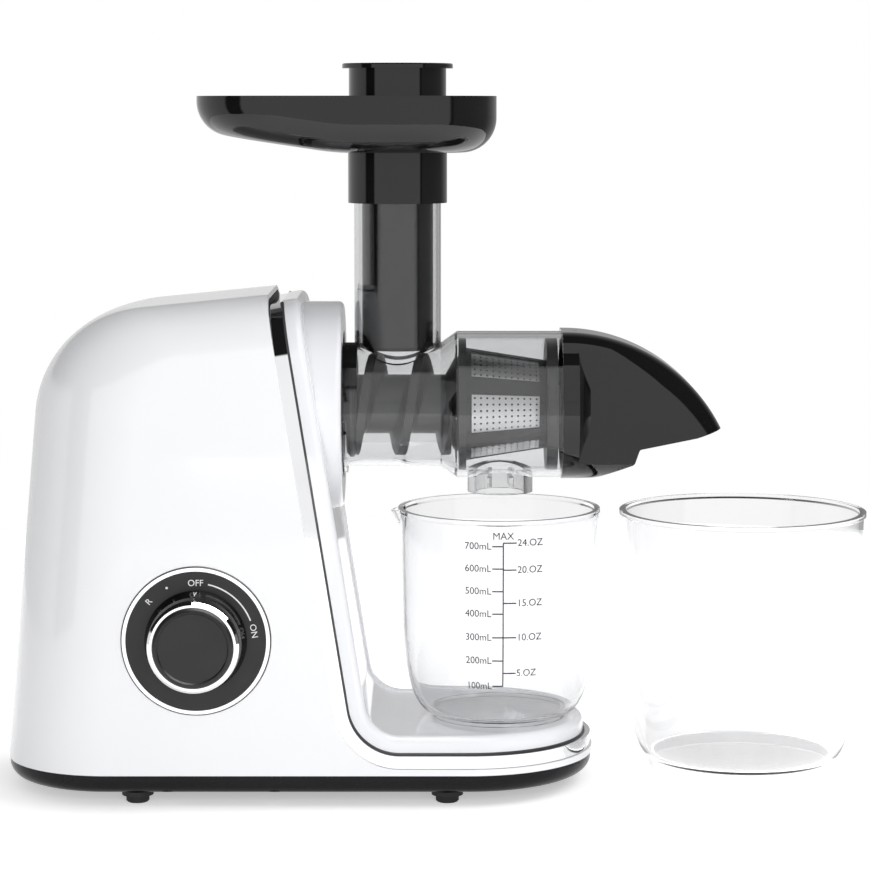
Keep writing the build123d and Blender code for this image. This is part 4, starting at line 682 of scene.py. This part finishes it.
def seam_line():
    """The longest open chain of seam edges: down one side, round the toe, up the other side."""
    near = seam_edges()
    best = []
    for start in [point for point, others in near.items() if len(others) == 1]:
        chain = [start]
        step = near[start][0]
        while step is not None:
            chain.append(step)
            step = next((p for p in near[step] if p != chain[-2]), None)
        if len(chain) > len(best):
            best = chain
    return best


def bezel_line():
    """Points on the housing round the dial's bezel."""
    front = surface("main_housing")
    radius = (BEZEL_HIGH.x - BEZEL_LOW.x) / 2
    points = []
    for i in range(BEZEL_SHADE_POINTS):
        turn = math.radians(360.0 * i / BEZEL_SHADE_POINTS)
        across, up = math.cos(turn), math.sin(turn)
        x, z = DIAL.x + radius * across, DIAL.z + radius * up
        start = (x + BEZEL_MARGIN * across, BEZEL_LOW.y - BEZEL_CLEARANCE, z + BEZEL_MARGIN * up)
        points.append((x, front.ray_cast(Vector(start), INWARD)[0].y, z))
    return points


# Painted shade: a black bead along the panel's seam with the trim stands in for its shadow gap and
# dark reflection.
shade_bead("panel_seam_shade", PANEL_SHADE_R, seam_line(), closed=False)
# Painted reflection: a black bead round the dial's bezel stands in for the dark reflection on its
# outer edge.
shade_bead("bezel_edge_shade", BEZEL_SHADE_R, bezel_line(), closed=True)

# ---------------------------------------------------------------- stage and light
FLOOR_R = 1.0
FLOOR_SEGMENTS = 96
FLOOR_COLOUR = (0.86, 0.86, 0.86, 1.0)
FLOOR_RINGS = (0.12, 0.42)  # between these distances the floor goes from near to far
FLOOR_NEAR, FLOOR_FAR = 0.42, 0.6  # what it shows by itself, so that it comes out white

# What reflections meet: angles in degrees from the front, heights as the direction's Z or Y.
FRONT_EDGE = (57, 52)
FRONT_TOP = (0.2, 0.12)
LEFT_EDGE, GREY_LEFT = (76, 82), 0.8
RIGHT_EDGE, GREY_RIGHT = (57, 62), 0.18
BACK_EDGE, GLOW_BACK = (0.2, 0.95), 0.45
DARK_SKY = 0.01
SOFT_LEVEL = 0.46
SOFT_COLOUR = (0.97, 0.975, 1.0, 1.0)
WHITE_LIGHT = (1.0, 1.0, 1.0, 1.0)

CARD_AT = (0.116, -0.444, 0.548)
CARD_TARGET = (0.116, -0.05, 0.24)
CARD_SIZE = (0.37, 0.60)
GLINT_TARGET = DIAL + Vector((0.066, -0.04, 0.0))
GLINT_HEIGHT = Vector((0.0, 0.0, 0.10))


class Nodes:
    """A world or floor shader tree with short calls."""

    def __init__(self, tree):
        self.tree = tree
        tree.nodes.clear()

    def add(self, kind, inputs=(), **values):
        made = self.tree.nodes.new(kind)
        for key, value in values.items():
            setattr(made, key, value)
        for key, value in dict(inputs).items():
            if isinstance(value, bpy.types.NodeSocket):
                self.tree.links.new(value, made.inputs[key])
            else:
                made.inputs[key].default_value = value
        return made

    def math(self, operation, a, b=0.0):
        return self.add("ShaderNodeMath", {0: a, 1: b}, operation=operation).outputs[0]

    def times(self, a, b):
        return self.math("MULTIPLY", a, b)

    def highest(self, a, b):
        return self.math("MAXIMUM", a, b)

    def one_minus(self, value):
        return self.math("SUBTRACT", 1.0, value)

    def step(self, value, edge):
        """A soft step from 0 to 1 between the two ends of the edge."""
        inputs = {"Value": value, "From Min": edge[0], "From Max": edge[1]}
        made = self.add("ShaderNodeMapRange", inputs, interpolation_type="SMOOTHSTEP")
        return made.outputs["Result"]

    def turned(self, value, edge):
        """A soft step between two angles in degrees."""
        return self.step(value, [math.radians(angle) for angle in edge])

    def seen(self):
        """1 for camera, glossy and transmitted rays, with the Light Path's other outputs."""
        rays = self.add("ShaderNodeLightPath").outputs
        first = self.highest(rays["Is Camera Ray"], rays["Is Transmission Ray"])
        return self.highest(first, rays["Is Glossy Ray"]), rays


def node_material(name):
    material = bpy.data.materials.new(name)
    material.use_nodes = True
    return material, Nodes(material.node_tree)


def stage_floor():
    """Plain pale floor that keeps the object's shadow on a white ground."""
    made = bmesh.new()
    bmesh.ops.create_circle(made, cap_ends=True, segments=FLOOR_SEGMENTS, radius=FLOOR_R)
    obj = bpy.data.objects.new("floor", to_mesh("floor", made))
    bpy.context.scene.collection.objects.link(obj)
    material, kit = node_material("floor")
    seen, _ = kit.seen()
    pale = kit.add("ShaderNodeBsdfDiffuse", {"Color": FLOOR_COLOUR})
    spot = kit.add("ShaderNodeTexCoord").outputs["Object"]
    away = kit.add("ShaderNodeVectorMath", {0: spot}, operation="LENGTH").outputs["Value"]
    rise = kit.times(kit.step(away, FLOOR_RINGS), FLOOR_FAR - FLOOR_NEAR)
    shown = kit.times(seen, kit.math("ADD", rise, FLOOR_NEAR))
    lift = kit.add("ShaderNodeEmission", {"Strength": shown})
    both = kit.add("ShaderNodeAddShader", {0: pale.outputs[0], 1: lift.outputs[0]})
    kit.add("ShaderNodeOutputMaterial", {"Surface": both.outputs[0]})
    obj.data.materials.append(material)


def world_light():
    """White ground for the camera and through clear parts, a studio in reflections, soft light."""
    world = bpy.data.worlds.new("studio")
    bpy.context.scene.world = world
    world.use_nodes = True
    kit = Nodes(world.node_tree)
    seen, rays = kit.seen()
    way = kit.add("ShaderNodeTexCoord").outputs["Generated"]
    axes = kit.add("ShaderNodeSeparateXYZ", {0: way}).outputs
    turn = kit.math("ARCTAN2", axes["X"], kit.times(axes["Y"], -1.0))
    low = kit.step(axes["Z"], FRONT_TOP)
    front = kit.times(kit.turned(kit.math("ABSOLUTE", turn), FRONT_EDGE), low)
    back = kit.times(kit.step(axes["Y"], BACK_EDGE), GLOW_BACK)
    left = kit.times(kit.turned(kit.times(turn, -1.0), LEFT_EDGE), GREY_LEFT)
    right = kit.times(kit.turned(turn, RIGHT_EDGE), GREY_RIGHT)
    side = kit.times(kit.highest(left, right), low)
    bright = kit.highest(kit.highest(front, back), kit.highest(side, DARK_SKY))
    mirrored = kit.math("GREATER_THAN", rays["Glossy Depth"], 0.5)
    shown = kit.one_minus(kit.times(mirrored, kit.one_minus(bright)))
    ground = kit.add("ShaderNodeBackground", {"Color": WHITE_LIGHT, "Strength": shown})
    soft = kit.add("ShaderNodeBackground", {"Color": SOFT_COLOUR, "Strength": SOFT_LEVEL})
    mix = kit.add("ShaderNodeMixShader", {0: seen, 1: soft.outputs[0], 2: ground.outputs[0]})
    kit.add("ShaderNodeOutputWorld", {"Surface": mix.outputs[0]})


def aim(obj, at, target):
    obj.location = at
    obj.rotation_euler = (Vector(target) - Vector(at)).to_track_quat("-Z", "Y").to_euler()
    bpy.context.scene.collection.objects.link(obj)


def soft_lamp(name, at, target, size, power, mirrored=False):
    """A lamp that only lights surfaces or, when mirrored, only shows in reflections."""
    data = bpy.data.lights.new(name, "AREA")
    data.shape = "RECTANGLE"
    data.size, data.size_y = size
    data.energy = power
    lamp = bpy.data.objects.new(name, data)
    lamp.visible_camera = False
    lamp.visible_diffuse = not mirrored
    lamp.visible_glossy = mirrored
    lamp.visible_transmission = mirrored
    aim(lamp, at, target)


def mirror_card():
    """White card above the front of the drum that only shows in reflections."""
    made = bmesh.new()
    bmesh.ops.create_grid(made, x_segments=1, y_segments=1, size=0.5)
    made.transform(Matrix.Diagonal((*CARD_SIZE, 1.0, 1.0)))
    obj = bpy.data.objects.new("mirror_card", to_mesh("mirror_card", made))
    material, kit = node_material("mirror_card")
    white = kit.add("ShaderNodeEmission", {"Strength": 1.0})
    kit.add("ShaderNodeOutputMaterial", {"Surface": white.outputs[0]})
    obj.data.materials.append(material)
    obj.visible_camera = False
    obj.visible_diffuse = False
    obj.visible_shadow = False
    aim(obj, CARD_AT, CARD_TARGET)


stage_floor()
world_light()
mirror_card()
soft_lamp("key", at=(0.2, -1.7, 0.5), target=(0.0, 0.0, 0.15), size=(1.4, 1.0), power=16.3)
soft_lamp("side", at=(0.9, 0.1, 1.2), target=(0.05, 0.0, 0.1), size=(1.2, 1.2), power=12.0)
soft_lamp(
    "dial_glint", at=GLINT_TARGET + GLINT_HEIGHT, target=GLINT_TARGET, size=(0.148, 0.055),
    power=0.22, mirrored=True,
)
bpy.context.scene.view_settings.view_transform = "Standard"
